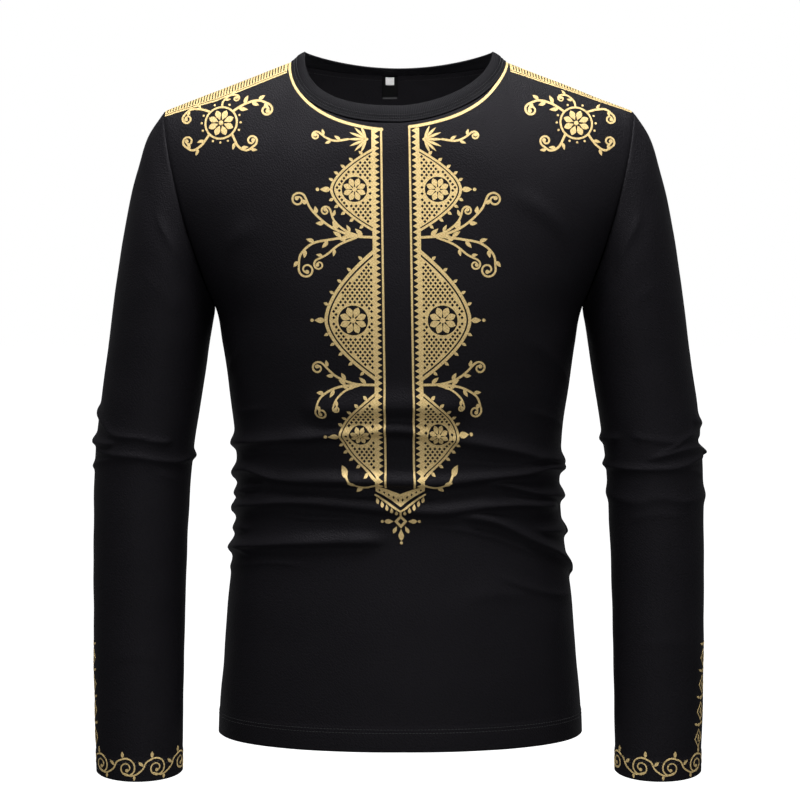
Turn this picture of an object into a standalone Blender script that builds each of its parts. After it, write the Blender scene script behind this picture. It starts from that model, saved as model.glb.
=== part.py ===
"""A long-sleeved knit dashiki shirt, filled out as on a wearer: solids of its cut pieces.

Metres, +Z up. The front faces -Y and the wearer's left is +X. The origin is the middle of the neck
opening, level with the neck ends of the shoulder seams, where the wearer's shoulders carry the shirt.

Each cut piece is a wall of cloth built on a grid of points on its outer face:
front and back panels from hem to neckline, two sleeves from armhole to cuff, the neck rib,
and the neck label with its size tab. Pieces meet at seams with a small gap.
"""

import math
from collections import namedtuple

import bpy
from mathutils import Vector

# Cloth
WALL = 0.0015
RIB_WALL = 0.0022
SEAM_GAP = 0.0003

# Heights and half widths that the cut is drawn from
HEM_HEIGHT = -0.645
UNDERARM_HEIGHT = -0.236
SHOULDER_TIP_HEIGHT = -0.051
SHOULDER_TIP_X = 0.2235
NECK_POINT_HEIGHT = -0.0035
NECK_HALF_WIDTH = 0.1005
FRONT_NECK_DROP = 0.0608
BACK_NECK_DROP = 0.0084
# The front neckline is fuller on the wearer's right than on the left.
RIGHT_NECKLINE_POWER = 2.36
LEFT_NECKLINE_POWER = 1.74
SECTION_POWER = 2.2
SHOULDER_ROUND = 0.115
NECK_CROWN_POWER = 1.6
# The hem's front lifts a little, fading out above the hem.
HEM_FRONT_RISE = 0.003
HEM_RISE_TOP = -0.560
HEM_RISE_SPAN = 0.080

# The body's outline, sway and depth, from hem to neck. Depths are from the plane of the side seams.
BodyRow = namedtuple("BodyRow", "height half_width sway front_depth back_depth")
BODY = (
    BodyRow(-0.655, 0.1752, 0.0016, 0.1185, 0.1240),
    BodyRow(-0.620, 0.1742, 0.0015, 0.1190, 0.1245),
    BodyRow(-0.576, 0.1702, 0.0013, 0.1180, 0.1225),
    BodyRow(-0.518, 0.1656, 0.0012, 0.1140, 0.1150),
    BodyRow(-0.480, 0.1612, 0.0008, 0.1100, 0.1070),
    BodyRow(-0.440, 0.1565, 0.0000, 0.1070, 0.0995),
    BodyRow(-0.400, 0.1548, -0.0003, 0.1070, 0.0960),
    BodyRow(-0.357, 0.1570, -0.0003, 0.1110, 0.0985),
    BodyRow(-0.310, 0.1630, 0.0000, 0.1185, 0.1060),
    BodyRow(-0.270, 0.1686, 0.0000, 0.1230, 0.1130),
    BodyRow(-0.236, 0.1755, 0.0000, 0.1235, 0.1175),
    BodyRow(-0.200, 0.1960, 0.0000, 0.1190, 0.1195),
    BodyRow(-0.150, 0.2260, 0.0000, 0.1080, 0.1175),
    BodyRow(-0.100, 0.2500, 0.0000, 0.0930, 0.1080),
    BodyRow(-0.050, 0.2640, 0.0000, 0.0780, 0.0930),
    BodyRow(0.000, 0.2720, 0.0000, 0.0640, 0.0790),
)

# Where the panels end at the armhole, above the underarm
ArmholeRow = namedtuple("ArmholeRow", "height edge_x")
ARMHOLE = (
    ArmholeRow(-0.236, 0.1755),
    ArmholeRow(-0.200, 0.1870),
    ArmholeRow(-0.150, 0.2020),
    ArmholeRow(-0.117, 0.2105),
    ArmholeRow(-0.085, 0.2178),
    ArmholeRow(-0.051, 0.2235),
    ArmholeRow(0.010, 0.2300),
)

# The sleeve, ring by ring: its outer and inner edge seen from the front, its half depth
# and how far its middle lies from the plane of the side seams
SleeveRow = namedtuple(
    "SleeveRow", "station outer_x outer_z inner_x inner_z half_depth middle_y"
)
SLEEVE = (
    SleeveRow(0, 0.2235, -0.051, 0.1755, -0.236, 0.055, 0.002),
    SleeveRow(1, 0.2390, -0.075, 0.1767, -0.244, 0.058, 0.002),
    SleeveRow(2, 0.2477, -0.103, 0.1783, -0.252, 0.060, 0.001),
    SleeveRow(3, 0.2565, -0.137, 0.1800, -0.262, 0.062, 0.000),
    SleeveRow(4, 0.2645, -0.180, 0.1820, -0.275, 0.062, 0.000),
    SleeveRow(5, 0.2714, -0.226, 0.1843, -0.292, 0.060, -0.001),
    SleeveRow(6, 0.2775, -0.273, 0.1872, -0.312, 0.057, -0.002),
    SleeveRow(7, 0.2840, -0.318, 0.1914, -0.337, 0.054, -0.004),
    SleeveRow(8, 0.2890, -0.360, 0.1962, -0.368, 0.051, -0.006),
    SleeveRow(9, 0.2915, -0.402, 0.1996, -0.402, 0.048, -0.008),
    SleeveRow(10, 0.2922, -0.450, 0.2022, -0.450, 0.045, -0.011),
    SleeveRow(11, 0.2924, -0.510, 0.2044, -0.510, 0.041, -0.015),
    SleeveRow(12, 0.2921, -0.570, 0.2056, -0.570, 0.037, -0.020),
    SleeveRow(13, 0.2908, -0.630, 0.2065, -0.630, 0.032, -0.025),
    SleeveRow(14, 0.2890, -0.678, 0.2070, -0.678, 0.028, -0.029),
)
LAST_STATION = SLEEVE[-1].station
CUFF_DIP = 0.0056
ARMHOLE_SHAPE_ENDS = 4.0

# Folds stand out from the cloth along a line of (angle in degrees, height) points.
# On the body the angle runs from the front's middle towards the wearer's left, and 180 is the back.
# On a sleeve it runs from the inner side over the front, 90, to the outer side, 180.
Fold = namedtuple("Fold", "rise half_width line")
BODY_FOLDS = (
    Fold(0.0050, 0.0060, (
        (-92, -0.3650), (-47, -0.3566), (-23, -0.3490), (0, -0.3440), (15, -0.3520), (39, -0.3640),
        (60, -0.3750), (92, -0.3830),
    )),
    Fold(0.0060, 0.0060, (
        (-92, -0.3950), (-66, -0.3860), (-46, -0.3920), (-17, -0.3923), (12, -0.3940),
        (30, -0.3900), (47, -0.3877), (63, -0.3849), (92, -0.3885),
    )),
    Fold(0.0035, 0.0050, ((-92, -0.4150), (-57, -0.4010), (-44, -0.3940))),
    Fold(0.0050, 0.0055, ((27, -0.3910), (41, -0.3990), (57, -0.4078), (92, -0.4158))),
    Fold(0.0055, 0.0060, (
        (-92, -0.4280), (-66, -0.4198), (-34, -0.4126), (0, -0.4185), (15, -0.4205), (33, -0.4160),
        (61, -0.4190), (78, -0.4250),
    )),
    Fold(0.0055, 0.0060, (
        (15, -0.4225), (33, -0.4300), (51, -0.4499), (65, -0.4626), (92, -0.4870),
    )),
    Fold(0.0060, 0.0060, (
        (-92, -0.4660), (-66, -0.4583), (-34, -0.4498), (-14, -0.4470), (0, -0.4480),
    )),
    Fold(0.0035, 0.0050, ((48, -0.4400), (70, -0.4460), (92, -0.4495))),
    Fold(0.0030, 0.0050, ((-92, -0.4480), (-72, -0.4440), (-58, -0.4420))),
    Fold(0.0055, 0.0060, (
        (88, -0.3830), (120, -0.3750), (160, -0.3660), (200, -0.3680), (240, -0.3740),
        (272, -0.3650),
    )),
    Fold(0.0055, 0.0060, (
        (88, -0.4158), (118, -0.4060), (150, -0.3980), (185, -0.3960), (222, -0.4040),
        (272, -0.3950),
    )),
    Fold(0.0055, 0.0060, (
        (88, -0.4495), (125, -0.4390), (160, -0.4310), (200, -0.4330), (240, -0.4400),
        (272, -0.4280),
    )),
    Fold(0.0050, 0.0060, ((88, -0.4870), (120, -0.4760), (155, -0.4680), (190, -0.4720))),
    Fold(0.0055, 0.0060, ((188, -0.4640), (220, -0.4590), (250, -0.4690), (272, -0.4660))),
    Fold(0.0040, 0.0080, (
        (26, -0.1280), (37, -0.1410), (44, -0.1520), (50, -0.1653), (56, -0.1820),
    )),
    Fold(0.0035, 0.0090, ((-60, -0.1900), (-48, -0.1680), (-36, -0.1600))),
)
LEFT_SLEEVE_FOLDS = (
    Fold(0.0030, 0.0060, ((68, -0.2008), (90, -0.1720), (114, -0.1460))),
    Fold(0.0045, 0.0045, (
        (12, -0.3750), (44, -0.3723), (72, -0.3638), (101, -0.3610), (122, -0.3580),
        (138, -0.3500), (160, -0.3300),
    )),
    Fold(0.0045, 0.0045, (
        (16, -0.3870), (44, -0.3826), (78, -0.3795), (101, -0.3780), (127, -0.3755),
        (147, -0.3690), (180, -0.3600), (230, -0.3630), (300, -0.3700), (345, -0.3740),
    )),
    Fold(0.0030, 0.0040, (
        (118, -0.3800), (143, -0.3830), (180, -0.3870), (240, -0.3930), (300, -0.3900),
    )),
    Fold(-0.0065, 0.0055, (
        (128, -0.3690), (155, -0.3660), (180, -0.3640), (230, -0.3660), (270, -0.3720),
    )),
    Fold(0.0050, 0.0070, ((-40, -0.3690), (0, -0.3660), (40, -0.3680))),
)
RIGHT_SLEEVE_FOLDS = (
    Fold(0.0030, 0.0060, ((68, -0.2008), (90, -0.1720), (114, -0.1460))),
    Fold(0.0035, 0.0045, ((150, -0.3380), (180, -0.3420), (230, -0.3480))),
    Fold(0.0040, 0.0045, ((50, -0.3600), (88, -0.3638), (110, -0.3630), (140, -0.3544))),
    Fold(0.0045, 0.0045, (
        (72, -0.3810), (93, -0.3750), (111, -0.3695), (140, -0.3685), (180, -0.3704),
        (230, -0.3650), (290, -0.3600), (340, -0.3560),
    )),
    Fold(0.0045, 0.0045, (
        (20, -0.3820), (61, -0.3880), (82, -0.3892), (105, -0.3892), (124, -0.3836),
        (145, -0.3770),
    )),
    Fold(0.0035, 0.0045, (
        (110, -0.3880), (140, -0.3900), (180, -0.4020), (230, -0.3920), (300, -0.3860),
        (350, -0.3800),
    )),
    Fold(0.0030, 0.0050, ((58, -0.4300), (82, -0.4193), (105, -0.4156), (135, -0.4180))),
)
# How far a fold hangs down for its rise, the degrees over which it fades in and out, and the
# steepest run that widens it. The last two are the cloth's millimetres round the piece to a degree.
FOLD_SAG = 0.35
FOLD_END = 14.0
FOLD_STEEPEST = 2.0
BODY_MM_PER_DEGREE = 2.75
SLEEVE_MM_PER_DEGREE = 0.85

# The neck rib: how its free edge lies from its seam edge, at the front, the sides and the back
RIB_FRONT_IN = 0.0095
RIB_FRONT_UP = 0.0147
RIB_SIDE_IN = 0.0115
RIB_SIDE_UP = 0.0088
RIB_BACK_IN = 0.0160
RIB_BACK_UP = 0.0050
RIB_BULGE = 0.0010
RIB_PROUD = 0.0005
# Where the rib's foot starts, off the panels' edges
RIB_GAP = 0.00065

# The label at the back of the neck
LABEL_MIDDLE_X = -0.0088
LABEL_WIDTH = 0.0145
LABEL_LENGTH = 0.0200
TAB_MIDDLE_X = -0.0088
TAB_WIDTH = 0.0081
TAB_LENGTH = 0.0067
LABEL_WALL = 0.0010
LABEL_GAP = 0.0006
LABEL_BELOW_SEAM = 0.0001

# Grid counts
NECK_COLUMNS = 8
SHOULDER_COLUMNS = 5
LOWER_ROWS = 5
FRONT_FOLD_ROWS = 34
BACK_FOLD_ROWS = 26
CHEST_ROWS = 4
ARMHOLE_ROWS = 10
FOLD_ZONE = (-0.500, -0.330)
SLEEVE_UPPER_ROWS = 12
SLEEVE_ELBOW_ROWS = 15
SLEEVE_LOWER_ROWS = 6
ELBOW_STATIONS = (6.9, 9.6)
RIB_ROWS = 3

FRONT = -1
BACK = 1
CHARCOAL = (0.012, 0.012, 0.014, 1.0)
LABEL_BLACK = (0.008, 0.008, 0.009, 1.0)
TAB_WHITE = (0.80, 0.80, 0.78, 1.0)


def smooth_row(table, at):
    """The table's columns at a value of its first column, on a cubic through its rows."""
    low = 0
    while low < len(table) - 2 and at > table[low + 1][0]:
        low += 1
    left, right = table[low], table[low + 1]
    before, after = table[max(low - 1, 0)], table[min(low + 2, len(table) - 1)]
    span = right[0] - left[0]
    t = (at - left[0]) / span
    columns = [at]
    for k in range(1, len(left)):
        left_slope = (right[k] - before[k]) / (right[0] - before[0]) * span
        right_slope = (after[k] - left[k]) / (after[0] - left[0]) * span
        columns.append(
            left[k] * (2 * t**3 - 3 * t**2 + 1)
            + left_slope * (t**3 - 2 * t**2 + t)
            + right[k] * (3 * t**2 - 2 * t**3)
            + right_slope * (t**3 - t**2)
        )
    return type(left)(*columns) if hasattr(left, "_fields") else columns


def smoothstep(t):
    t = min(max(t, 0.0), 1.0)
    return t * t * (3.0 - 2.0 * t)


def evenly(start, end, count):
    return [start + (end - start) * k / count for k in range(count + 1)]


def fold_rise(folds, angle, height, mm_per_degree):
    """How far the folds lift the cloth at an angle and height."""
    rise = sink = 0.0
    for fold in folds:
        start, end = fold.line[0][0], fold.line[-1][0]
        for turned in (angle, angle + 360.0):
            if not start <= turned <= end:
                continue
            here = smooth_row(fold.line, turned)[1]
            ahead = smooth_row(fold.line, min(turned + 1.0, end))[1]
            steepness = abs(ahead - here) * 1000.0 / mm_per_degree
            half_width = fold.half_width * math.hypot(1.0, min(steepness, FOLD_STEEPEST))
            ends = smoothstep((turned - start) / FOLD_END) * smoothstep((end - turned) / FOLD_END)
            # A fold that runs over a side seam keeps its height there.
            if start % 180.0 in (88.0, 92.0) and turned - start < FOLD_END:
                ends = smoothstep((end - turned) / FOLD_END)
            if end % 180.0 in (88.0, 92.0) and end - turned < FOLD_END:
                ends = smoothstep((turned - start) / FOLD_END)
            lift = fold.rise * ends * math.exp(-(((height - here) / half_width) ** 2))
            rise, sink = max(rise, lift), min(sink, lift)
    return rise + sink


def panel_edge(height):
    """The panels' half width at a height: to the side seam, or to the armhole above the underarm."""
    if height <= UNDERARM_HEIGHT:
        return smooth_row(BODY, height).half_width
    return smooth_row(ARMHOLE, height).edge_x


def ridge_height(x):
    """The height of the shoulder line, carried on over the neck opening."""
    slope = (SHOULDER_TIP_HEIGHT - NECK_POINT_HEIGHT) / (SHOULDER_TIP_X - NECK_HALF_WIDTH)
    if abs(x) > NECK_HALF_WIDTH:
        return NECK_POINT_HEIGHT + slope * (abs(x) - NECK_HALF_WIDTH)
    crown = 1.0 - (abs(x) / NECK_HALF_WIDTH) ** NECK_CROWN_POWER
    return NECK_POINT_HEIGHT - slope * NECK_HALF_WIDTH / NECK_CROWN_POWER * crown


def cloth_depth(side, x, height):
    """How far the cloth stands off the plane of the side and shoulder seams."""
    row = smooth_row(BODY, height)
    depth = row.front_depth if side == FRONT else row.back_depth
    across = min(abs(x) / row.half_width, 1.0)
    roundness = (1.0 - across**SECTION_POWER) ** (1.0 / SECTION_POWER)
    below_ridge = min(max((ridge_height(x) - height) / SHOULDER_ROUND, 0.0), 1.0)
    over_shoulder = math.sqrt(1.0 - (1.0 - below_ridge) ** 2)
    return depth * roundness * over_shoulder


def neckline_height(side, x):
    across = min(abs(x) / NECK_HALF_WIDTH, 1.0)
    if side == BACK:
        return NECK_POINT_HEIGHT - BACK_NECK_DROP * (1.0 - across**2)
    power = LEFT_NECKLINE_POWER if x > 0.0 else RIGHT_NECKLINE_POWER
    return NECK_POINT_HEIGHT - FRONT_NECK_DROP * (1.0 - across**power) ** (1.0 / power)


def top_edge(side, column):
    """The x and height of a panel's top edge: neckline columns first, then the shoulder seam's."""
    if abs(column) <= NECK_COLUMNS:
        x = NECK_HALF_WIDTH * math.sin(math.pi / 2 * column / NECK_COLUMNS)
        return x, neckline_height(side, x)
    along = (abs(column) - NECK_COLUMNS) / SHOULDER_COLUMNS
    x = NECK_HALF_WIDTH + (SHOULDER_TIP_X - NECK_HALF_WIDTH) * along
    return math.copysign(x, column), ridge_height(x)


def body_point(side, across, height):
    """A point of the body's outer face, at a share of the half width, with its folds."""
    x = across * panel_edge(height)
    row = smooth_row(BODY, height)
    base = Vector((x + row.sway, side * cloth_depth(side, x, height), height))
    angle = math.degrees(math.asin(max(-1.0, min(1.0, across))))
    if side == BACK:
        angle = 180.0 - angle
    rise = fold_rise(BODY_FOLDS, angle, height, BODY_MM_PER_DEGREE)
    depth = row.front_depth if side == FRONT else row.back_depth
    outward = Vector((x / row.half_width**2, base.y / depth**2, 0.0))
    if outward.length < 1e-9:
        return base
    raised = -FOLD_SAG * rise
    if side == FRONT:
        near_hem = smoothstep((HEM_RISE_TOP - height) / HEM_RISE_SPAN)
        raised += HEM_FRONT_RISE * near_hem * abs(base.y) / depth
    return base + outward.normalized() * rise + Vector((0.0, 0.0, raised))


def panel_grid(side, fold_rows):
    """The outer face of the front or back panel, rows from hem to top edge."""
    lower, upper = FOLD_ZONE
    heights = (
        evenly(HEM_HEIGHT, lower, LOWER_ROWS)[:-1]
        + evenly(lower, upper, fold_rows)[:-1]
        + evenly(upper, UNDERARM_HEIGHT, CHEST_ROWS)
    )
    half_columns = NECK_COLUMNS + SHOULDER_COLUMNS
    columns = range(-half_columns, half_columns + 1)
    grid = [
        [body_point(side, math.sin(math.pi / 2 * k / half_columns), height) for k in columns]
        for height in heights
    ]
    for step in range(1, ARMHOLE_ROWS + 1):
        risen = (1.0 - math.cos(math.pi * step / ARMHOLE_ROWS)) / 2.0
        blend = smoothstep(risen)
        row = []
        for k in columns:
            top_x, top_height = top_edge(side, k)
            height = UNDERARM_HEIGHT + (top_height - UNDERARM_HEIGHT) * risen
            low_share = math.sin(math.pi / 2 * k / half_columns)
            top_share = top_x / panel_edge(top_height)
            row.append(body_point(side, low_share + (top_share - low_share) * blend, height))
        grid.append(row)
    for row in grid:
        for point in row:
            point.y += side * SEAM_GAP / 2
    return grid


def sleeve_point(hand, folds, armhole, station, angle):
    """A point of a sleeve's outer face. hand is +1 for the wearer's left sleeve."""
    row = smooth_row(SLEEVE, station)
    middle = Vector(((row.outer_x + row.inner_x) / 2, row.middle_y, (row.outer_z + row.inner_z) / 2))
    across = Vector(((row.outer_x - row.inner_x) / 2, 0.0, (row.outer_z - row.inner_z) / 2))
    turn = math.radians(angle)
    base = middle - across * math.cos(turn) + Vector((0.0, -row.half_depth * math.sin(turn), 0.0))
    base += armhole * (1.0 - smoothstep(station / ARMHOLE_SHAPE_ENDS))
    near_cuff = smoothstep((station - (LAST_STATION - 2)) / 2.0)
    base.z -= CUFF_DIP * near_cuff * math.sin(turn)
    rise = fold_rise(folds, angle, base.z, SLEEVE_MM_PER_DEGREE)
    outward = Vector((-math.cos(turn) / across.length, -math.sin(turn) / row.half_depth, 0.0)).normalized()
    point = base + outward * rise + Vector((0.0, 0.0, -FOLD_SAG * rise))
    point.x = hand * (point.x + SEAM_GAP)
    return point


def armhole_shape(angle):
    """How the armhole's edge differs from the ellipse between its ends."""
    turn = math.radians(angle)
    risen = (1.0 - math.cos(turn)) / 2.0
    height = UNDERARM_HEIGHT + (SHOULDER_TIP_HEIGHT - UNDERARM_HEIGHT) * risen
    x = panel_edge(height)
    side = FRONT if angle <= 180.0 else BACK
    first = SLEEVE[0]
    on_edge = Vector((x, side * cloth_depth(side, x, height), height))
    on_ellipse = Vector((
        first.inner_x + (first.outer_x - first.inner_x) * risen,
        first.middle_y - first.half_depth * math.sin(turn),
        height,
    ))
    return on_edge - on_ellipse


def sleeve_grid(hand, folds):
    """Rings from the armhole to the cuff."""
    upper, lower = ELBOW_STATIONS
    stations = (
        evenly(0.0, upper, SLEEVE_UPPER_ROWS)[:-1]
        + evenly(upper, lower, SLEEVE_ELBOW_ROWS)[:-1]
        + evenly(lower, LAST_STATION, SLEEVE_LOWER_ROWS)
    )
    angles = [180.0 * k / ARMHOLE_ROWS for k in range(2 * ARMHOLE_ROWS)]
    shapes = [armhole_shape(angle) for angle in angles]
    grid = [
        [sleeve_point(hand, folds, shape, station, angle) for shape, angle in zip(shapes, angles)]
        for station in stations
    ]
    grid[0] = [first + (second - first).normalized() * SEAM_GAP for first, second in zip(*grid[:2])]
    return grid


def grid_normals(grid, ring, facing):
    """Unit normals at the grid's points, from their neighbours along rows and columns."""
    rows, columns = len(grid), len(grid[0])
    normals = []
    for i, row in enumerate(grid):
        above, below = grid[min(i + 1, rows - 1)], grid[max(i - 1, 0)]
        line = []
        for k in range(columns):
            if ring:
                along = row[(k + 1) % columns] - row[k - 1]
            else:
                along = row[min(k + 1, columns - 1)] - row[max(k - 1, 0)]
            line.append(along.cross(above[k] - below[k]).normalized() * facing)
        normals.append(line)
    return normals


def in_seam_plane(direction):
    """The direction without its part across the plane of the side and shoulder seams."""
    return Vector((direction.x, 0.0, direction.z)).normalized()


def shared(first, second):
    """One wall direction for two pieces that meet, each its own where the cloth doubles back."""
    both = smoothstep((first.dot(second) + 0.25) / 0.5)
    middle = (first + second).normalized()
    return first.lerp(middle, both).normalized(), second.lerp(middle, both).normalized()


def wall_mesh(grid, normals, wall, ring, facing):
    """Points and faces of a closed wall from the grid inwards."""
    rows, columns = len(grid), len(grid[0])
    outer = [point for row in grid for point in row]
    inner = [
        point - normal * wall
        for row, row_normals in zip(grid, normals)
        for point, normal in zip(row, row_normals)
    ]

    def corner(i, k, inside=False):
        return i * columns + k % columns + (len(outer) if inside else 0)

    faces = []
    spans = columns if ring else columns - 1
    for i in range(rows - 1):
        for k in range(spans):
            quad = [(i, k), (i, k + 1), (i + 1, k + 1), (i + 1, k)]
            faces.append([corner(*place) for place in quad])
            faces.append([corner(*place, inside=True) for place in reversed(quad)])
    for i in (0, rows - 1):
        for k in range(spans):
            rim = [corner(i, k), corner(i, k, True), corner(i, k + 1, True), corner(i, k + 1)]
            faces.append(rim if i == 0 else rim[::-1])
    if not ring:
        for k in (0, columns - 1):
            for i in range(rows - 1):
                rim = [corner(i, k), corner(i + 1, k), corner(i + 1, k, True), corner(i, k, True)]
                faces.append(rim if k == 0 else rim[::-1])
    return outer + inner, [face[::-1] for face in faces] if facing < 0 else faces


def cloth_material(name, colour):
    material = bpy.data.materials.new(name)
    material.use_nodes = True
    shader = material.node_tree.nodes["Principled BSDF"]
    shader.inputs["Base Color"].default_value = colour
    shader.inputs["Roughness"].default_value = 0.85
    shader.inputs["Metallic"].default_value = 0.0
    return material


def add_piece(name, grid, normals, wall, ring, facing, colour=CHARCOAL):
    points, faces = wall_mesh(grid, normals, wall, ring, facing)
    mesh = bpy.data.meshes.new(name)
    mesh.from_pydata([tuple(point) for point in points], [], faces)
    mesh.shade_smooth()
    mesh.set_sharp_from_angle(angle=math.radians(60))
    mesh.materials.append(cloth_material(name, colour))
    bpy.context.scene.collection.objects.link(bpy.data.objects.new(name, mesh))


def rib_grid(front, back):
    """The neck rib's outer face: rings from the neckline seam to the free edge."""
    middle = NECK_COLUMNS + SHOULDER_COLUMNS
    reach = range(-NECK_COLUMNS, NECK_COLUMNS + 1)
    seam = [(FRONT, k, front[-1][middle + k]) for k in reach]
    seam += [(BACK, k, back[-1][middle + k]) for k in reversed(reach) if abs(k) < NECK_COLUMNS]
    rings = []
    for step in range(RIB_ROWS + 1):
        share = step / RIB_ROWS
        ring = []
        for place, (side, k, foot) in enumerate(seam):
            turn = math.pi / 2 * k / NECK_COLUMNS
            tangent = (seam[(place + 1) % len(seam)][2] - seam[place - 1][2]).normalized()
            facing_in, up = (
                (RIB_FRONT_IN, RIB_FRONT_UP) if side == FRONT else (RIB_BACK_IN, RIB_BACK_UP)
            )
            up = RIB_SIDE_UP + (up - RIB_SIDE_UP) * math.cos(turn) ** 2
            across = Vector((-RIB_SIDE_IN * math.sin(turn), -side * facing_in * math.cos(turn), up))
            out = Vector((up * math.sin(turn), side * up * math.cos(turn), RIB_SIDE_IN)).normalized()
            bulge = RIB_PROUD + RIB_BULGE * 4 * share * (1 - share)
            start = foot + (across - tangent * across.dot(tangent)).normalized() * RIB_GAP
            if abs(k) == NECK_COLUMNS:
                start.y = 0.0
            ring.append(start + across * share + out * bulge)
        rings.append(ring)
    return rings


def label_grid(middle_x, width, length, gap):
    """A grid on the back panel's inner face, from the neckline seam down, facing the wearer's neck."""
    grid = []
    top = neckline_height(BACK, middle_x) - LABEL_BELOW_SEAM
    for height in evenly(top - length, top, 3):
        row = []
        for x in evenly(middle_x - width / 2, middle_x + width / 2, 2):
            edge = panel_edge(height)
            here = body_point(BACK, x / edge, height)
            aside = body_point(BACK, (x + 0.001) / edge, height) - here
            above = body_point(BACK, x / panel_edge(height + 0.001), height + 0.001) - here
            row.append(here + aside.cross(above).normalized() * (WALL + gap))
        grid.append(row)
    return grid


def join_at_armhole(panel_normals, edge, armhole_ring, ring_step):
    """Gives a panel's armhole edge and its half of a sleeve's first ring the same wall directions.

    The half ring runs from the underarm to the shoulder tip in steps of ring_step places.
    """
    for k in range(1, ARMHOLE_ROWS):
        row = panel_normals[len(panel_normals) - 1 - ARMHOLE_ROWS + k]
        place = k * ring_step
        row[edge], armhole_ring[place] = shared(row[edge], armhole_ring[place])


def keep_in_seam_plane(normals):
    """Turns a panel's wall at the side and shoulder seams along the seams' plane."""
    for row in normals[:-ARMHOLE_ROWS]:
        for edge in (0, -1):
            row[edge] = in_seam_plane(row[edge])
    for k in range(SHOULDER_COLUMNS + 1):
        for column in (k, -1 - k):
            normals[-1][column] = in_seam_plane(normals[-1][column])


def join_sleeve(hand, armhole_ring, front_normals, back_normals):
    """Gives a sleeve's first ring and both panels' armhole edges the same wall directions."""
    edge = -1 if hand > 0 else 0
    join_at_armhole(front_normals, edge, armhole_ring, 1)
    join_at_armhole(back_normals, edge, armhole_ring, -1)
    tip = in_seam_plane(armhole_ring[ARMHOLE_ROWS] + front_normals[-1][edge] + back_normals[-1][edge])
    armhole_ring[ARMHOLE_ROWS] = tip
    front_normals[-1][edge] = tip
    back_normals[-1][edge] = tip


def join_rib(seam_ring, front_top, back_top):
    """Gives the rib's first ring and both panels' neckline edges the same wall directions."""
    for k in range(-NECK_COLUMNS, NECK_COLUMNS + 1):
        column = NECK_COLUMNS + SHOULDER_COLUMNS + k
        along = NECK_COLUMNS + k
        front_top[column], seam_ring[along] = shared(front_top[column], seam_ring[along])
        if abs(k) < NECK_COLUMNS:
            along = 3 * NECK_COLUMNS - k
            back_top[column], seam_ring[along] = shared(back_top[column], seam_ring[along])
    for along, column in ((0, SHOULDER_COLUMNS), (2 * NECK_COLUMNS, -1 - SHOULDER_COLUMNS)):
        corner = in_seam_plane(seam_ring[along])
        seam_ring[along] = corner
        front_top[column] = corner
        back_top[column] = corner


def main():
    for thing in list(bpy.data.objects):
        bpy.data.objects.remove(thing)
    front, back = panel_grid(FRONT, FRONT_FOLD_ROWS), panel_grid(BACK, BACK_FOLD_ROWS)
    front_normals, back_normals = grid_normals(front, False, 1), grid_normals(back, False, -1)
    keep_in_seam_plane(front_normals)
    keep_in_seam_plane(back_normals)
    sleeves = []
    for hand, folds in ((1, LEFT_SLEEVE_FOLDS), (-1, RIGHT_SLEEVE_FOLDS)):
        grid = sleeve_grid(hand, folds)
        normals = grid_normals(grid, True, -hand)
        join_sleeve(hand, normals[0], front_normals, back_normals)
        sleeves.append((hand, grid, normals))
    rib = rib_grid(front, back)
    rib_normals = grid_normals(rib, True, 1)
    join_rib(rib_normals[0], front_normals[-1], back_normals[-1])

    add_piece("front_panel", front, front_normals, WALL, False, 1)
    add_piece("back_panel", back, back_normals, WALL, False, -1)
    for name, (hand, grid, normals) in zip(("sleeve_left", "sleeve_right"), sleeves):
        add_piece(name, grid, normals, WALL, True, -hand)
    add_piece("neck_rib", rib, rib_normals, RIB_WALL, True, 1)
    label = label_grid(LABEL_MIDDLE_X, LABEL_WIDTH, LABEL_LENGTH, LABEL_GAP)
    add_piece("neck_label", label, grid_normals(label, False, -1), LABEL_WALL, False, -1, LABEL_BLACK)
    tab = label_grid(TAB_MIDDLE_X, TAB_WIDTH, TAB_LENGTH, LABEL_GAP + LABEL_WALL + SEAM_GAP)
    add_piece("size_tab", tab, grid_normals(tab, False, -1), LABEL_WALL, False, -1, TAB_WHITE)


main()
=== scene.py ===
"""The looks of the knit dashiki shirt: fine cloth shells on the frame, its gold print and stitching.

Metres, +Z up, the front faces -Y and the wearer's left is +X, as in the frame.
"""

import functools
import math

import bpy
import numpy as np
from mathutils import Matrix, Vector, noise
from mathutils.geometry import delaunay_2d_cdt


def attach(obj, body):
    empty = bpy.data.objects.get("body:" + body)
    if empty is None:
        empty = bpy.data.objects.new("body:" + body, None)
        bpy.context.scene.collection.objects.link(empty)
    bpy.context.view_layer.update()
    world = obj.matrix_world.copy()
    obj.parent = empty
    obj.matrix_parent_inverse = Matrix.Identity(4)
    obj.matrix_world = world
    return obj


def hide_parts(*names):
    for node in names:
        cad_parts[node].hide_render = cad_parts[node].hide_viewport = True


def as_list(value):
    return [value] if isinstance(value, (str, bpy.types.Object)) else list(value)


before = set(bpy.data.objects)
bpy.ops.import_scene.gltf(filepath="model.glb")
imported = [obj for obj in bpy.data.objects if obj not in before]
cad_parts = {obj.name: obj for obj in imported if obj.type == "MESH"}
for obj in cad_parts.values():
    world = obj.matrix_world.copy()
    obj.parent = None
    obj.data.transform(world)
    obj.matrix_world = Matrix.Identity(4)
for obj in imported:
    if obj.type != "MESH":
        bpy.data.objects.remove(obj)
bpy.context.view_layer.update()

FRONT, BACK = -1, 1

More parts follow.
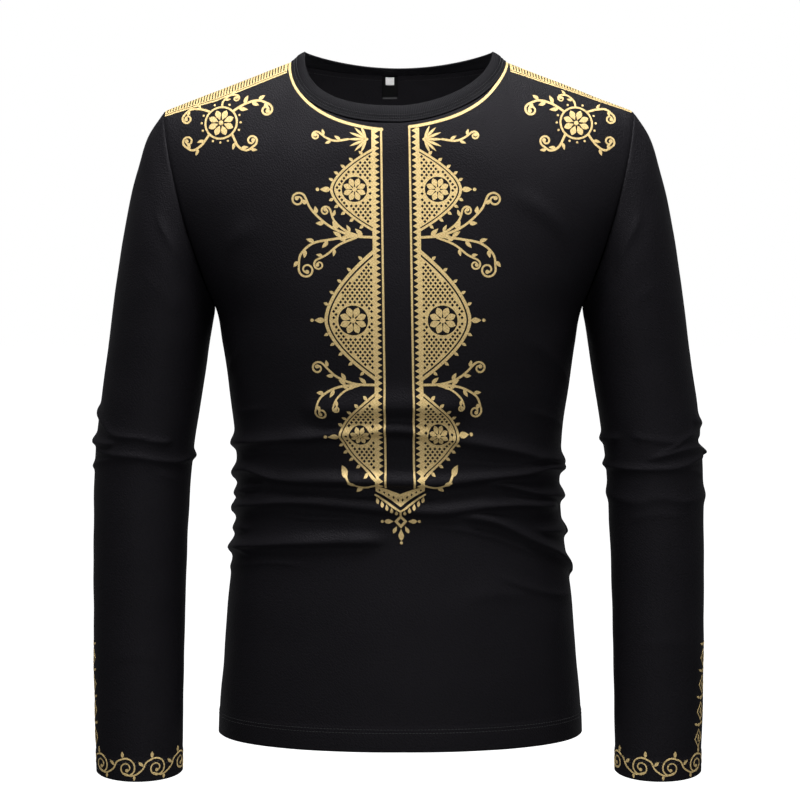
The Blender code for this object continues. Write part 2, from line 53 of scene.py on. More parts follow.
# The shirt's cut, as in the frame
UNDERARM_HEIGHT = -0.236
HEM_HEIGHT = -0.645
SHOULDER_TIP_HEIGHT = -0.051
SHOULDER_TIP_X = 0.2235
NECK_POINT_HEIGHT = -0.0035
NECK_HALF_WIDTH = 0.1005
FRONT_NECK_DROP = 0.0608
BACK_NECK_DROP = 0.0084
RIGHT_NECKLINE_POWER = 2.36
LEFT_NECKLINE_POWER = 1.74
SECTION_POWER = 2.2
SHOULDER_ROUND = 0.115
HEM_FRONT_RISE = 0.003
NECK_CROWN_POWER = 1.6


def tenths(*rows):
    """Rows of metres, from rows of tenths of a millimetre."""
    return [tuple(value / 1e4 for value in row) for row in rows]


# The body from hem to neck: height, half width, sway, and depth in front of and behind the side seams
BODY = tenths(
    (-6550, 1752, 16, 1185, 1240), (-6200, 1742, 15, 1190, 1245), (-5760, 1702, 13, 1180, 1225),
    (-5180, 1656, 12, 1140, 1150), (-4800, 1612, 8, 1100, 1070), (-4400, 1565, 0, 1070, 995),
    (-4000, 1548, -3, 1070, 960), (-3570, 1570, -3, 1110, 985), (-3100, 1630, 0, 1185, 1060),
    (-2700, 1686, 0, 1230, 1130), (-2360, 1755, 0, 1235, 1175), (-2000, 1960, 0, 1190, 1195),
    (-1500, 2260, 0, 1080, 1175), (-1000, 2500, 0, 930, 1080), (-500, 2640, 0, 780, 930),
    (0, 2720, 0, 640, 790),
)
# Where the panels end at the armhole: height and x
ARMHOLE = tenths(
    (-2360, 1755), (-2000, 1870), (-1500, 2020), (-1170, 2105), (-850, 2178), (-510, 2235),
    (100, 2300),
)
# The sleeve's stations from shoulder to cuff: x and z of the outer edge, then of the inner edge, half
# the depth, and how far the middle lies behind the side seams
SLEEVE = [(station, *row) for station, row in enumerate(tenths(
    (2235, -510, 1755, -2360, 550, 20), (2390, -750, 1767, -2440, 580, 20),
    (2477, -1030, 1783, -2520, 600, 10), (2565, -1370, 1800, -2620, 620, 0),
    (2645, -1800, 1820, -2750, 620, 0), (2714, -2260, 1843, -2920, 600, -10),
    (2775, -2730, 1872, -3120, 570, -20), (2840, -3180, 1914, -3370, 540, -40),
    (2890, -3600, 1962, -3680, 510, -60), (2915, -4020, 1996, -4020, 480, -80),
    (2922, -4500, 2022, -4500, 450, -110), (2924, -5100, 2044, -5100, 410, -150),
    (2921, -5700, 2056, -5700, 370, -200), (2908, -6300, 2065, -6300, 320, -250),
    (2890, -6780, 2070, -6780, 280, -290),
))]
LAST_STATION = SLEEVE[-1][0]
CUFF_DIP = 0.0056
ARMHOLE_SHAPE_ENDS = 4.0


def folds(*rows):
    """Folds, each a rise, a half width and a line of (angle in degrees, height) points along it.

    A row has the rise and half width, then each point's angle and its depth below the origin, all
    lengths in tenths of a millimetre. On the body the angle runs from the front's middle towards the
    wearer's left, and 180 is the back. On a sleeve it runs from the inner side over the front, 90,
    to the outer side, 180.
    """
    return [
        (rise / 1e4, half_width / 1e4, [(a, -depth / 1e4) for a, depth in zip(line[::2], line[1::2])])
        for rise, half_width, *line in rows
    ]


BODY_FOLDS = folds(
    (50, 60, -92, 3650, -47, 3566, -23, 3490, 0, 3440, 15, 3520, 39, 3640, 60, 3750, 92, 3830),
    (60, 60, -92, 3950, -66, 3860, -46, 3920, -17, 3923, 12, 3940, 30, 3900, 47, 3877, 63, 3849,
     92, 3885),
    (35, 50, -92, 4150, -57, 4010, -44, 3940),
    (50, 55, 27, 3910, 41, 3990, 57, 4078, 92, 4158),
    (55, 60, -92, 4280, -66, 4198, -34, 4126, 0, 4185, 15, 4205, 33, 4160, 61, 4190, 78, 4250),
    (55, 60, 15, 4225, 33, 4300, 51, 4499, 65, 4626, 92, 4870),
    (60, 60, -92, 4660, -66, 4583, -34, 4498, -14, 4470, 0, 4480),
    (35, 50, 48, 4400, 70, 4460, 92, 4495),
    (30, 50, -92, 4480, -72, 4440, -58, 4420),
    (55, 60, 88, 3830, 120, 3750, 160, 3660, 200, 3680, 240, 3740, 272, 3650),
    (55, 60, 88, 4158, 118, 4060, 150, 3980, 185, 3960, 222, 4040, 272, 3950),
    (55, 60, 88, 4495, 125, 4390, 160, 4310, 200, 4330, 240, 4400, 272, 4280),
    (50, 60, 88, 4870, 120, 4760, 155, 4680, 190, 4720),
    (55, 60, 188, 4640, 220, 4590, 250, 4690, 272, 4660),
    (40, 80, 26, 1280, 37, 1410, 44, 1520, 50, 1653, 56, 1820),
    (35, 90, -60, 1900, -48, 1680, -36, 1600),
)
# Fine creases that lie over the folds
BODY_CREASES = folds(
    (68, 115, -36, 3290, -14, 3240, 2, 3225, 28, 3250),
    (24, 64, -44, 3560, -29, 3515, -16, 3485, 0, 3455, 16, 3535),
    (30, 50, -46, 3915, -30, 3880, -14, 3895, 0, 3890, 16, 3920),
    (12, 28, -70, 3720, -48, 3690, -30, 3705),
    (14, 30, 18, 3760, 40, 3790, 66, 3740),
    (10, 26, -36, 4030, -16, 4045, 2, 4010),
    (13, 28, -78, 4090, -60, 4110, -42, 4075),
    (12, 30, 34, 4060, 52, 4170, 74, 4300),
    (11, 27, -50, 4260, -30, 4290, -8, 4270),
    (13, 32, 6, 4330, 24, 4400, 44, 4560, 60, 4740),
    (10, 30, -80, 4560, -58, 4680, -40, 4640),
    (14, 42, -88, 4850, -70, 4790, -48, 4720, -28, 4730),
    (16, 48, 30, 4800, 48, 4960, 66, 5060, 86, 5110),
    (10, 40, -84, 3400, -66, 3330, -44, 3260),
    (12, 42, 44, 3290, 62, 3380, 86, 3560),
    (12, 60, 40, 2620, 54, 2760, 70, 2980, 84, 3180),
    (10, 60, -84, 3060, -66, 2820, -54, 2660),
    (11, 90, 14, 5060, 30, 4990, 52, 5040),
    (16, 110, -62, 2440, -50, 2120, -42, 1960),
    (12, 34, 104, 3860, 130, 3800, 158, 3820),
    (13, 32, 186, 3780, 214, 3850, 244, 3830),
    (12, 30, 112, 4210, 140, 4130, 170, 4150),
    (14, 34, 196, 4160, 224, 4230, 252, 4190),
    (12, 36, 126, 4550, 152, 4500, 176, 4540),
    (15, 46, 98, 5010, 122, 4960, 150, 4870),
    (13, 44, 206, 4860, 232, 4910, 260, 4990),
    (12, 50, 100, 3440, 126, 3380, 150, 3360),
    (11, 52, 202, 3390, 230, 3440, 258, 3380),
    (14, 100, 118, 2300, 132, 2080, 146, 1960),
    (14, 100, 214, 1980, 228, 2120, 242, 2360),
)
LEFT_SLEEVE_FOLDS = folds(
    (30, 60, 68, 2008, 90, 1720, 114, 1460),
    (32, 52, 140, 3420, 180, 3461, 222, 3440),
    (-30, 50, 150, 3630, 180, 3663, 225, 3650),
    (32, 46, -42, 3630, 0, 3614, 28, 3600, 50, 3580),
    (20, 45, 56, 3562, 82, 3592, 98, 3611, 118, 3632),
    (24, 38, 72, 3805, 90, 3747, 105, 3688, 122, 3603, 136, 3565, 152, 3545),
    (32, 38, 78, 3778, 98, 3735, 109, 3713, 126, 3688, 149, 3690, 180, 3731, 230, 3700, 300, 3740,
     345, 3760),
    (55, 38, 158, 3712, 180, 3731, 206, 3722),
    (34, 42, -38, 3838, 0, 3854, 35, 3870, 73, 3871, 98, 3864, 114, 3854, 126, 3832, 142, 3794,
     170, 3760),
    (16, 36, 116, 3852, 139, 3905, 168, 3982),
    (22, 70, -42, 4110, 0, 4132, 40, 4170, 66, 4185, 84, 4145, 98, 4150, 121, 4180, 150, 4165, 180,
     4143, 222, 4130),
)
LEFT_SLEEVE_CREASES = folds(
    (11, 32, 196, 3560, 226, 3600, 262, 3580),
    (10, 30, 206, 3790, 240, 3830, 286, 3800),
    (10, 50, 48, 4360, 86, 4300, 120, 4330),
    (9, 60, 60, 5560, 96, 5500, 132, 5520),
    (9, 60, 210, 4700, 250, 4640, 292, 4680),
    (10, 80, 56, 2560, 86, 2300, 116, 2120),
    (9, 70, 222, 2700, 258, 2480, 296, 2560),
)
RIGHT_SLEEVE_FOLDS = folds(
    (30, 60, 68, 2008, 90, 1720, 114, 1460),
    (30, 42, 48, 3630, 78, 3603, 89, 3577, 116, 3562, 130, 3536, 144, 3460, 180, 3339, 216, 3320),
    (43, 42, 118, 3635, 159, 3638, 180, 3616, 230, 3600, 290, 3560, 332, 3540),
    (34, 42, -38, 3762, 0, 3773, 20, 3795, 38, 3812, 70, 3785, 89, 3755, 108, 3743, 123, 3737, 140,
     3721, 166, 3690),
    (22, 36, 108, 3758, 130, 3787, 170, 3868, 205, 3890),
    (12, 40, 30, 4020, 52, 3960, 72, 3900),
)
RIGHT_SLEEVE_CREASES = folds(
    (11, 32, 190, 3840, 222, 3790, 266, 3730),
    (10, 30, 214, 4060, 256, 4020, 300, 4080),
    (9, 60, 52, 5700, 88, 5640, 120, 5660),
    (10, 80, 60, 2440, 88, 2200, 118, 2020),
    (9, 70, 226, 2420, 262, 2600, 300, 2540),
)
BODY_RELIEF = (BODY_FOLDS, BODY_CREASES)
SLEEVE_RELIEF = {
    1: (LEFT_SLEEVE_FOLDS, LEFT_SLEEVE_CREASES), -1: (RIGHT_SLEEVE_FOLDS, RIGHT_SLEEVE_CREASES)
}
# A fold's crest is round at the piece's edges as seen from the front, and crisp between them
ROUND_CREST, CRISP_CREST = 2.0, 1.25
CRISP_NARROWER = 0.20
CREST_TIP = 0.27
FOLD_SAG = 0.34
FOLD_END = 14.0
STEEPEST = 2.0
# Where crests turn crisp and where the middle starts, by the sine of the angle off the edges
CRISP_FROM, CRISP_SPAN = 0.15, 0.30
MIDDLE_FROM, MIDDLE_SPAN = 0.74, 0.20
HEM_RISE_TOP, HEM_RISE_SPAN = -0.56, 0.08
SIDE_SEAM_ENDS = (88.0, 92.0)
# Millimetres a degree, the edges' angle, how much higher crisp folds are, and how crisp in the middle
BODY_FOLDING = (2.75, 90.0, 0.30, 0.0)
SLEEVE_FOLDING = (0.85, 0.0, -0.10, 1.0)

# The neck rib: how its free edge lies from its seam edge, at the front and back, and at the sides
RIB_IN, RIB_SIDE_IN = (0.0095, 0.0160), 0.0115
RIB_UP, RIB_SIDE_UP = (0.0147, 0.0050), 0.0088
RIB_BULGE = 0.0010
RIB_PROUD = 0.0005
RIB_WALL = 0.0019
RIB_COUNT = 330
RIB_DEPTH = 0.00022
RIB_STITCH_LINES = (0.0030, 0.0060)
RIB_STITCH_DENT, RIB_DENT_WIDTH = 0.0003, 0.0008
RIB_SEAM_ROLL, RIB_ROLL_WIDTH = 0.0006, 0.0016
RIB_UNDER_SEAM = 0.04

# Cloth
KNIT_PITCH = 0.00305
WALL = 0.0012
RIM_ROUNDNESS = 0.45
HEM_EXTRA = 0.0005
HEM_STEP, HEM_STEP_WIDTH = 0.0012, 0.0016
HEM_STITCH_LINES = (0.0172, 0.0204)
CUFF_STITCH_LINES = (0.0150, 0.0180)
STITCH_DENT, STITCH_DENT_WIDTH = 0.00025, 0.0009
SEAM_DIP, SEAM_DIP_WIDTH = 0.0006, 0.0016
UNEVENNESS = 0.0005
# The unevenness of each piece: the size of its waves and its place in the random field
UNEVEN = {
    "front_panel": (0.035, 3.1), "back_panel": (0.035, 7.7),
    "sleeve_left": (0.030, 11.3), "sleeve_right": (0.030, 17.9),
}

# Grid counts
NECK_COLUMNS = 8
SHOULDER_COLUMNS = 5
HALF_COLUMNS = NECK_COLUMNS + SHOULDER_COLUMNS
PANEL_BANDS = (HEM_HEIGHT, -0.620, -0.510, -0.322, UNDERARM_HEIGHT)
SLEEVE_BANDS = ((0.0, 6.9, 66), (6.9, 9.8, 84), (9.8, 13.5, 54), (13.5, LAST_STATION, 21))
SLEEVE_COLUMNS = 96
RIB_ROWS, POINTS_PER_RIB, RIB_SAMPLES = 13, 4, 1441


def stack(*parts):
    """Arrays of one shape, or numbers, as the columns of one array."""
    return np.stack(np.broadcast_arrays(*parts), -1)


def join(*parts, axis=0):
    return np.concatenate(parts, axis)


def along_rows(table, at):
    """The table's columns after the first, on cubics through its rows, at an array of values."""
    rows, at = np.array(table, float), np.asarray(at, float)
    low = np.clip(np.searchsorted(rows[:, 0], at, side="left") - 1, 0, len(rows) - 2)
    left, right = rows[low], rows[low + 1]
    before, after = rows[np.maximum(low - 1, 0)], rows[np.minimum(low + 2, len(rows) - 1)]
    span = (right - left)[..., :1]
    t = (at[..., None] - left[..., :1]) / span
    left_slope = (right - before) / (right - before)[..., :1] * span
    right_slope = (after - left) / (after - left)[..., :1] * span
    value = left * (2 * t**3 - 3 * t**2 + 1) + left_slope * (t**3 - 2 * t**2 + t)
    value = value + right * (3 * t**2 - 2 * t**3) + right_slope * (t**3 - t**2)
    return np.moveaxis(value[..., 1:], -1, 0)


def smoothstep(t):
    t = np.clip(t, 0.0, 1.0)
    return t * t * (3.0 - 2.0 * t)


def bell(distance, width):
    return np.exp(-((distance / width) ** 2))


def unit(vectors):
    lengths = np.linalg.norm(vectors, axis=-1, keepdims=True)
    return vectors / np.maximum(lengths, 1e-12)


def sample(at, along, rows):
    """Points of a line at distances along it."""
    return stack(*(np.interp(at, along, column) for column in rows.T))


def arc_lengths(grid, axis):
    """How far each point of the grid lies from the first of its row or column, over the points."""
    steps = np.linalg.norm(np.diff(grid, axis=axis), axis=-1)
    return join(np.zeros_like(steps.take([0], axis)), steps.cumsum(axis), axis=axis)


def line_lengths(line):
    return arc_lengths(line[None], 1)[0]


def fold_rise(folds, angle, height, millimetres_per_degree, edge_angle, higher, middle_crispness):
    """How far the folds lift the cloth at arrays of angles and heights."""
    off_edge = np.abs(np.sin(np.radians(angle - edge_angle)))
    in_middle = smoothstep((off_edge - MIDDLE_FROM) / MIDDLE_SPAN)
    crisp = smoothstep((off_edge - CRISP_FROM) / CRISP_SPAN)
    crisp = crisp * (1.0 + (middle_crispness - 1.0) * in_middle)
    crest = ROUND_CREST + (CRISP_CREST - ROUND_CREST) * crisp
    rise, sink = np.zeros_like(height), np.zeros_like(height)
    for fold_height, fold_width, line in folds:
        start, end = line[0][0], line[-1][0]
        for turned in (angle, angle + 360.0):
            inside = (turned >= start) & (turned <= end)
            if not inside.any():
                continue
            held = np.clip(turned, start, end)
            here = along_rows(line, held)[0]
            ahead = along_rows(line, np.minimum(held + 1.0, end))[0]
            steepness = np.abs(ahead - here) * 1000.0 / millimetres_per_degree
            half_width = fold_width * np.hypot(1.0, np.minimum(steepness, STEEPEST))
            off = (height - here) / (half_width * (1.0 - CRISP_NARROWER * crisp))
            lift = fold_height * (1.0 + higher * crisp)
            lift = lift * np.exp(-(np.hypot(off, CREST_TIP * crisp) ** crest))
            for end_angle, from_end in ((start, held - start), (end, end - held)):
                if end_angle % 180.0 not in SIDE_SEAM_ENDS:
                    lift = lift * smoothstep(from_end / FOLD_END)
            lift = np.where(inside, lift, 0.0)
            rise, sink = np.maximum(rise, lift), np.minimum(sink, lift)
    return rise + sink


def panel_edge(height):
    low = along_rows(BODY, height)[0]
    high = along_rows(ARMHOLE, np.maximum(height, UNDERARM_HEIGHT))[0]
    return np.where(height <= UNDERARM_HEIGHT, low, high)


def ridge_height(x):
    """The height of the shoulder line, carried on over the neck opening."""
    slope = (SHOULDER_TIP_HEIGHT - NECK_POINT_HEIGHT) / (SHOULDER_TIP_X - NECK_HALF_WIDTH)
    x = np.abs(x)
    crown = 1.0 - np.minimum(x / NECK_HALF_WIDTH, 1.0) ** NECK_CROWN_POWER
    over_neck = NECK_POINT_HEIGHT - slope * NECK_HALF_WIDTH / NECK_CROWN_POWER * crown
    on_seam = NECK_POINT_HEIGHT + slope * (x - NECK_HALF_WIDTH)
    return np.where(x > NECK_HALF_WIDTH, on_seam, over_neck)


def cloth_depth(side, x, height, over_shoulder=None):
    """How far the cloth stands off the plane of the side and shoulder seams."""
    half_width, _, front_depth, back_depth = along_rows(BODY, height)
    across = np.minimum(np.abs(x) / half_width, 1.0)
    roundness = (1.0 - across**SECTION_POWER) ** (1.0 / SECTION_POWER)
    if over_shoulder is None:
        below_ridge = np.clip((ridge_height(x) - height) / SHOULDER_ROUND, 0.0, 1.0)
        over_shoulder = np.sqrt(1.0 - (1.0 - below_ridge) ** 2)
    return (front_depth if side == FRONT else back_depth) * roundness * over_shoulder


def neckline_height(side, x):
    across = np.minimum(np.abs(x) / NECK_HALF_WIDTH, 1.0)
    if side == BACK:
        return NECK_POINT_HEIGHT - BACK_NECK_DROP * (1.0 - across**2)
    power = np.where(x > 0.0, LEFT_NECKLINE_POWER, RIGHT_NECKLINE_POWER)
    return NECK_POINT_HEIGHT - FRONT_NECK_DROP * (1.0 - across**power) ** (1.0 / power)


def top_edge(side, column):
    """The x and height of a panel's top edge: neckline columns first, then the shoulder seam's."""
    on_neck = NECK_HALF_WIDTH * np.sin(np.pi / 2 * np.clip(column / NECK_COLUMNS, -1.0, 1.0))
    along = (np.abs(column) - NECK_COLUMNS) / SHOULDER_COLUMNS
    on_seam = np.sign(column) * (NECK_HALF_WIDTH + (SHOULDER_TIP_X - NECK_HALF_WIDTH) * along)
    at_neck = np.abs(column) <= NECK_COLUMNS
    height = np.where(at_neck, neckline_height(side, on_neck), ridge_height(on_seam))
    return np.where(at_neck, on_neck, on_seam), height


def body_surface(side, x, height, over_shoulder=None):
    """Points of the body's outer face with its folds, at arrays of x and height."""
    x, height = np.broadcast_arrays(np.asarray(x, float), np.asarray(height, float))
    half_width, sway, front_depth, back_depth = along_rows(BODY, height)
    depth = front_depth if side == FRONT else back_depth
    y = side * cloth_depth(side, x, height, over_shoulder)
    angle = np.degrees(np.arcsin(np.clip(x / panel_edge(height), -1.0, 1.0)))
    if side == BACK:
        angle = 180.0 - angle
    rise = sum(fold_rise(folds, angle, height, *BODY_FOLDING) for folds in BODY_RELIEF)
    outward = unit(stack(x / half_width**2, y / depth**2))
    lifted = -FOLD_SAG * rise
    if side == FRONT:
        low = smoothstep((HEM_RISE_TOP - height) / HEM_RISE_SPAN)
        lifted = lifted + HEM_FRONT_RISE * low * np.abs(y) / depth
    return stack(x + sway + outward[..., 0] * rise, y + outward[..., 1] * rise, height + lifted)


def armhole_shape(angle):
    """How the armhole's edge differs from the ellipse between its ends."""
    turn = np.radians(angle)
    risen = (1.0 - np.cos(turn)) / 2.0
    height = UNDERARM_HEIGHT + (SHOULDER_TIP_HEIGHT - UNDERARM_HEIGHT) * risen
    x = panel_edge(height)
    depths = -cloth_depth(FRONT, x, height), cloth_depth(BACK, x, height)
    y = np.where(angle % 360.0 <= 180.0, *depths)
    _, outer_x, _, inner_x, _, half_depth, middle_y = SLEEVE[0]
    ellipse_x = inner_x + (outer_x - inner_x) * risen
    return stack(x - ellipse_x, y - (middle_y - half_depth * np.sin(turn)), 0.0)


def sleeve_surface(hand, station, angle):
    """Points of a sleeve's outer face with its folds. hand is 1 for the wearer's left sleeve."""
    station, angle = np.broadcast_arrays(np.asarray(station, float), np.asarray(angle, float))
    outer_x, outer_z, inner_x, inner_z, half_depth, middle_y = along_rows(SLEEVE, station)
    turn = np.radians(angle)
    across_x, across_z = (outer_x - inner_x) / 2, (outer_z - inner_z) / 2
    base = stack(
        (outer_x + inner_x) / 2 - across_x * np.cos(turn),
        middle_y - half_depth * np.sin(turn),
        (outer_z + inner_z) / 2 - across_z * np.cos(turn),
    )
    base = base + armhole_shape(angle) * (1.0 - smoothstep(station / ARMHOLE_SHAPE_ENDS))[..., None]
    near_cuff = smoothstep((station - (LAST_STATION - 2)) / 2.0)
    base[..., 2] -= CUFF_DIP * near_cuff * np.sin(turn)
    place = angle % 360.0, base[..., 2]
    rise = sum(fold_rise(folds, *place, *SLEEVE_FOLDING) for folds in SLEEVE_RELIEF[hand])
    across = np.hypot(across_x, across_z)
    outward = unit(stack(-np.cos(turn) / across, -np.sin(turn) / half_depth, 0.0))
    point = base + outward * rise[..., None]
    point[..., 2] -= FOLD_SAG * rise
    point[..., 0] *= hand
    return point


def grid_normals(grid, ring, facing):
    """Unit normals at the grid's points, from their neighbours along rows and columns."""
    if ring:
        along = np.roll(grid, -1, axis=1) - np.roll(grid, 1, axis=1)
    else:
        along = np.gradient(grid, axis=1)
    return unit(np.cross(along, np.gradient(grid, axis=0))) * facing


def unevenness(points, piece):
    """A soft random rise and fall of the cloth at its points."""
    size, seed = UNEVEN[piece]
    field = [noise.noise(Vector(point)) for point in points.reshape(-1, 3) / size + seed]
    return UNEVENNESS * np.array(field).reshape(points.shape[:-1])


def edge_loops(rows, columns, ring):
    """Loops of places, each a row and column, round the grid's free edges."""
    i, k = np.arange(rows), np.arange(columns)
    if ring:
        return [stack(0, k), stack(rows - 1, k[::-1])]
    first, last = stack(0, k[:-1]), stack(rows - 1, k[:0:-1])
    return [join(first, stack(i[:-1], columns - 1), last, stack(i[:0:-1], 0))]


def make_piece(name, points, faces, material, node, uvs=None, replaces=False, sharp=None):
    """A mesh piece on the frame's one body, that stands for a node and hides it where it replaces it.

    uvs are a pair of metres for each point. Edges over sharp degrees are shaded as corners.
    """
    mesh = bpy.data.meshes.new(name)
    mesh.from_pydata(np.asarray(points).tolist(), [], [list(face) for face in faces])
    mesh.shade_smooth()
    if sharp:
        mesh.set_sharp_from_angle(angle=math.radians(sharp))
    if uvs is not None:
        layer = mesh.uv_layers.new(name="UVMap")
        corner = np.empty(len(mesh.loops), np.int32)
        mesh.loops.foreach_get("vertex_index", corner)
        layer.data.foreach_set("uv", np.asarray(uvs, np.float32)[corner].ravel())
    mesh.materials.append(material)
    piece = bpy.data.objects.new(name, mesh)
    bpy.context.scene.collection.objects.link(piece)
    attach(piece, "root")
    if replaces:
        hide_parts(node)
    return piece


def cloth_shell(name, grid, normals, wall, ring, facing, uv, material, node):
    """A closed shell of cloth from the grid inwards, with rounded free edges."""
    rows, columns = grid.shape[:2]
    size = rows * columns
    inner = grid - normals * wall[..., None]
    index = np.arange(size).reshape(rows, columns)
    if ring:
        index = join(index, index[:, :1], axis=1)
    skin = stack(index[:-1, :-1], index[:-1, 1:], index[1:, 1:], index[1:, :-1]).reshape(-1, 4)
    faces = [skin, skin[:, ::-1] + size]
    points, uvs = [grid.reshape(-1, 3), inner.reshape(-1, 3)], [uv.reshape(-1, 2)] * 2
    count = 2 * size
    for loop in edge_loops(rows, columns, ring):
        i, k = loop.T
        further_in = np.clip(i, 1, rows - 2), k if ring else np.clip(k, 1, columns - 2)
        away = unit(grid[i, k] - grid[further_in]) * wall[i, k][:, None] * RIM_ROUNDNESS
        points.append((grid[i, k] + inner[i, k]) / 2 + away)
        uvs.append(uv[i, k])
        outside, rim = i * columns + k, count + np.arange(len(loop))
        for near, far in ((outside, rim), (rim, outside + size)):
            faces.append(stack(np.roll(near, -1), near, far, np.roll(far, -1)))
        count += len(loop)
    faces = join(*faces)[:, ::facing]
    return make_piece(name, join(*points), faces, material, node, join(*uvs), replaces=True)


# Procedural materials


def feed(tree, node, inputs):
    """Links a node's inputs to sockets, or sets them to values."""
    for key, value in inputs.items():
        if isinstance(value, bpy.types.NodeSocket):
            tree.links.new(value, node.inputs[key])
        else:
            node.inputs[key].default_value = value


def surface_material(name, fields, low, high, roughness, bump, dye=None, **shader):
    """A material whose colour lies between low and high by the sum of its fields.

    fields are rows of kind, share of the sum and settings, and the sum is the relief as well. The
    roughness runs between its two values with the second field, the fibre or grain. bump is a depth
    in metres and a strength. dye is the share, scale and detail of the colour's own unevenness.
    """
    material = bpy.data.materials.new(name)
    material.use_nodes = True
    tree = material.node_tree

    def add(kind, inputs, output=0, **settings):
        node = tree.nodes.new("ShaderNode" + kind)
        for key, value in settings.items():
            setattr(node, key, value)
        feed(tree, node, inputs)
        return node.outputs[output]

    def maths(operation, first, second=0.0):
        return add("Math", {0: first, 1: second}, operation=operation)

    def between(value, low, high, least=0.0):
        inputs = {"Value": value, "From Min": least, "To Min": low, "To Max": high}
        return add("MapRange", inputs, "Result")

    def noise_field(scale, detail=2.0, space="UV"):
        inputs = {"Vector": add("TexCoord", {}, space), "Scale": scale, "Detail": detail}
        return add("TexNoise", inputs, "Fac")

    def wave(along, pitch):
        """A sine along a coordinate in metres, from -1 to 1."""
        return maths("SINE", maths("MULTIPLY", along, 2.0 * math.pi / pitch))

    def axes():
        """The surface's own metres, across and along."""
        coordinates = add("TexCoord", {}, "UV")
        return [add("SeparateXYZ", {0: coordinates}, axis) for axis in (0, 1)]

    def loops(pitch):
        """Staggered rows of small loops, a little uneven, from 0 to 1."""
        waves = []
        for axis, size in zip(axes(), (0.7, 1.1)):
            shift = maths("MULTIPLY", noise_field(size / pitch), 1.8 * pitch)
            waves.append(wave(maths("ADD", axis, shift), pitch))
        return between(maths("MULTIPLY", *waves), 0.0, 1.0, -1.0)

    def rows(pitch):
        """Loops one over another along a rib."""
        return between(wave(axes()[1], pitch), 0.3, 0.7, -1.0)

    def weave(pitch):
        """Warp and weft lines."""
        return between(maths("MULTIPLY", *(wave(axis, pitch) for axis in axes())), 0.0, 1.0, -1.0)

    def mixed(parts):
        total, *others = [maths("MULTIPLY", field, share) for field, share in parts]
        for field in others:
            total = maths("ADD", total, field)
        return total

    kinds = {"loops": loops, "rows": rows, "weave": weave, "noise": noise_field}
    parts = [(kinds[kind](*settings), share) for kind, share, *settings in fields]
    relief = tone = mixed(parts)
    if dye:
        share, *settings = dye
        tone = mixed([(relief, 1.0 - share), (noise_field(*settings, "Object"), share)])
    colours = {"Factor": tone, "A": (*low, 1.0), "B": (*high, 1.0)}
    bumped = {"Height": relief, "Distance": bump[0], "Strength": bump[1]}
    feed(tree, tree.nodes["Principled BSDF"], {
        "Base Color": add("Mix", colours, "Result", data_type="RGBA"),
        "Roughness": between(parts[:2][-1][0], *roughness),
        "Normal": add("Bump", bumped, "Normal"),
        **{key.replace("_", " "): value for key, value in shader.items()},
    })
    return material


# Cloth pieces


def panel_grid(side, columns, band_rows, upper_rows):
    """The outer face of the front or back panel, rows from hem to top edge."""
    column = np.linspace(-HALF_COLUMNS, HALF_COLUMNS, columns)
    share = np.sin(np.pi / 2 * column / HALF_COLUMNS)
    bands = zip(PANEL_BANDS, PANEL_BANDS[1:], band_rows)
    heights = join(*(np.linspace(*band, endpoint=False) for band in bands))
    height = np.broadcast_to(heights[:, None], (len(heights), columns))
    x = share * panel_edge(height)
    risen = (1.0 - np.cos(np.pi * np.linspace(0.0, 1.0, upper_rows)))[:, None] / 2.0
    top_x, top_height = top_edge(side, column)
    high = UNDERARM_HEIGHT + (top_height - UNDERARM_HEIGHT) * risen
    top_share = top_x / panel_edge(top_height)
    high_x = (share + (top_share - share) * smoothstep(risen)) * panel_edge(high)
    return body_surface(side, join(x, high_x), join(height, high))


def sleeve_grid(hand):
    """The outer face of a sleeve, rows from cuff to armhole."""
    rows = [np.linspace(*band, endpoint=False) for band in SLEEVE_BANDS]
    stations = join(*rows, [LAST_STATION])[::-1]
    angles = np.linspace(0.0, 360.0, SLEEVE_COLUMNS, endpoint=False)
    return sleeve_surface(hand, stations[:, None], angles[None, :])


def seam_dip(grid, ring):
    """How deep the cloth turns in at its sewn edges: all but the first row, a hem or cuff."""
    dip = bell(arc_lengths(grid[::-1], 0)[::-1], SEAM_DIP_WIDTH)
    if not ring:
        from_right = arc_lengths(grid[:, ::-1], 1)[:, ::-1]
        dip = np.maximum(dip, bell(np.minimum(arc_lengths(grid, 1), from_right), SEAM_DIP_WIDTH))
    return SEAM_DIP * dip


def hem_relief(from_edge, stitch_lines):
    """The turned-up hem's extra thickness, with the dents of its two stitch lines."""
    edge = stitch_lines[1] + HEM_STEP
    relief = HEM_EXTRA * (1.0 - smoothstep((from_edge - edge) / HEM_STEP_WIDTH))
    dents = sum(bell(from_edge - line, STITCH_DENT_WIDTH) for line in stitch_lines)
    return relief - STITCH_DENT * dents


def cloth_piece(name, grid, ring, facing, stitch_lines, material):
    """A hemmed piece of cloth over the grid. Gives its object, its grid and the grid's normals."""
    normals = grid_normals(grid, ring, facing)
    from_hem, across = arc_lengths(grid, 0), arc_lengths(grid, 1)
    if not ring:
        across = across - across[:, grid.shape[1] // 2, None]
    relief = hem_relief(from_hem, stitch_lines)
    rise = relief + unevenness(grid, name) - seam_dip(grid, ring)
    grid = grid + normals * rise[..., None]
    wall, uv = WALL + np.maximum(relief, 0.0), stack(across, from_hem)
    shell = cloth_shell(f"{name}_cloth", grid, normals, wall, ring, facing, uv, material, name)
    return shell, grid, normals


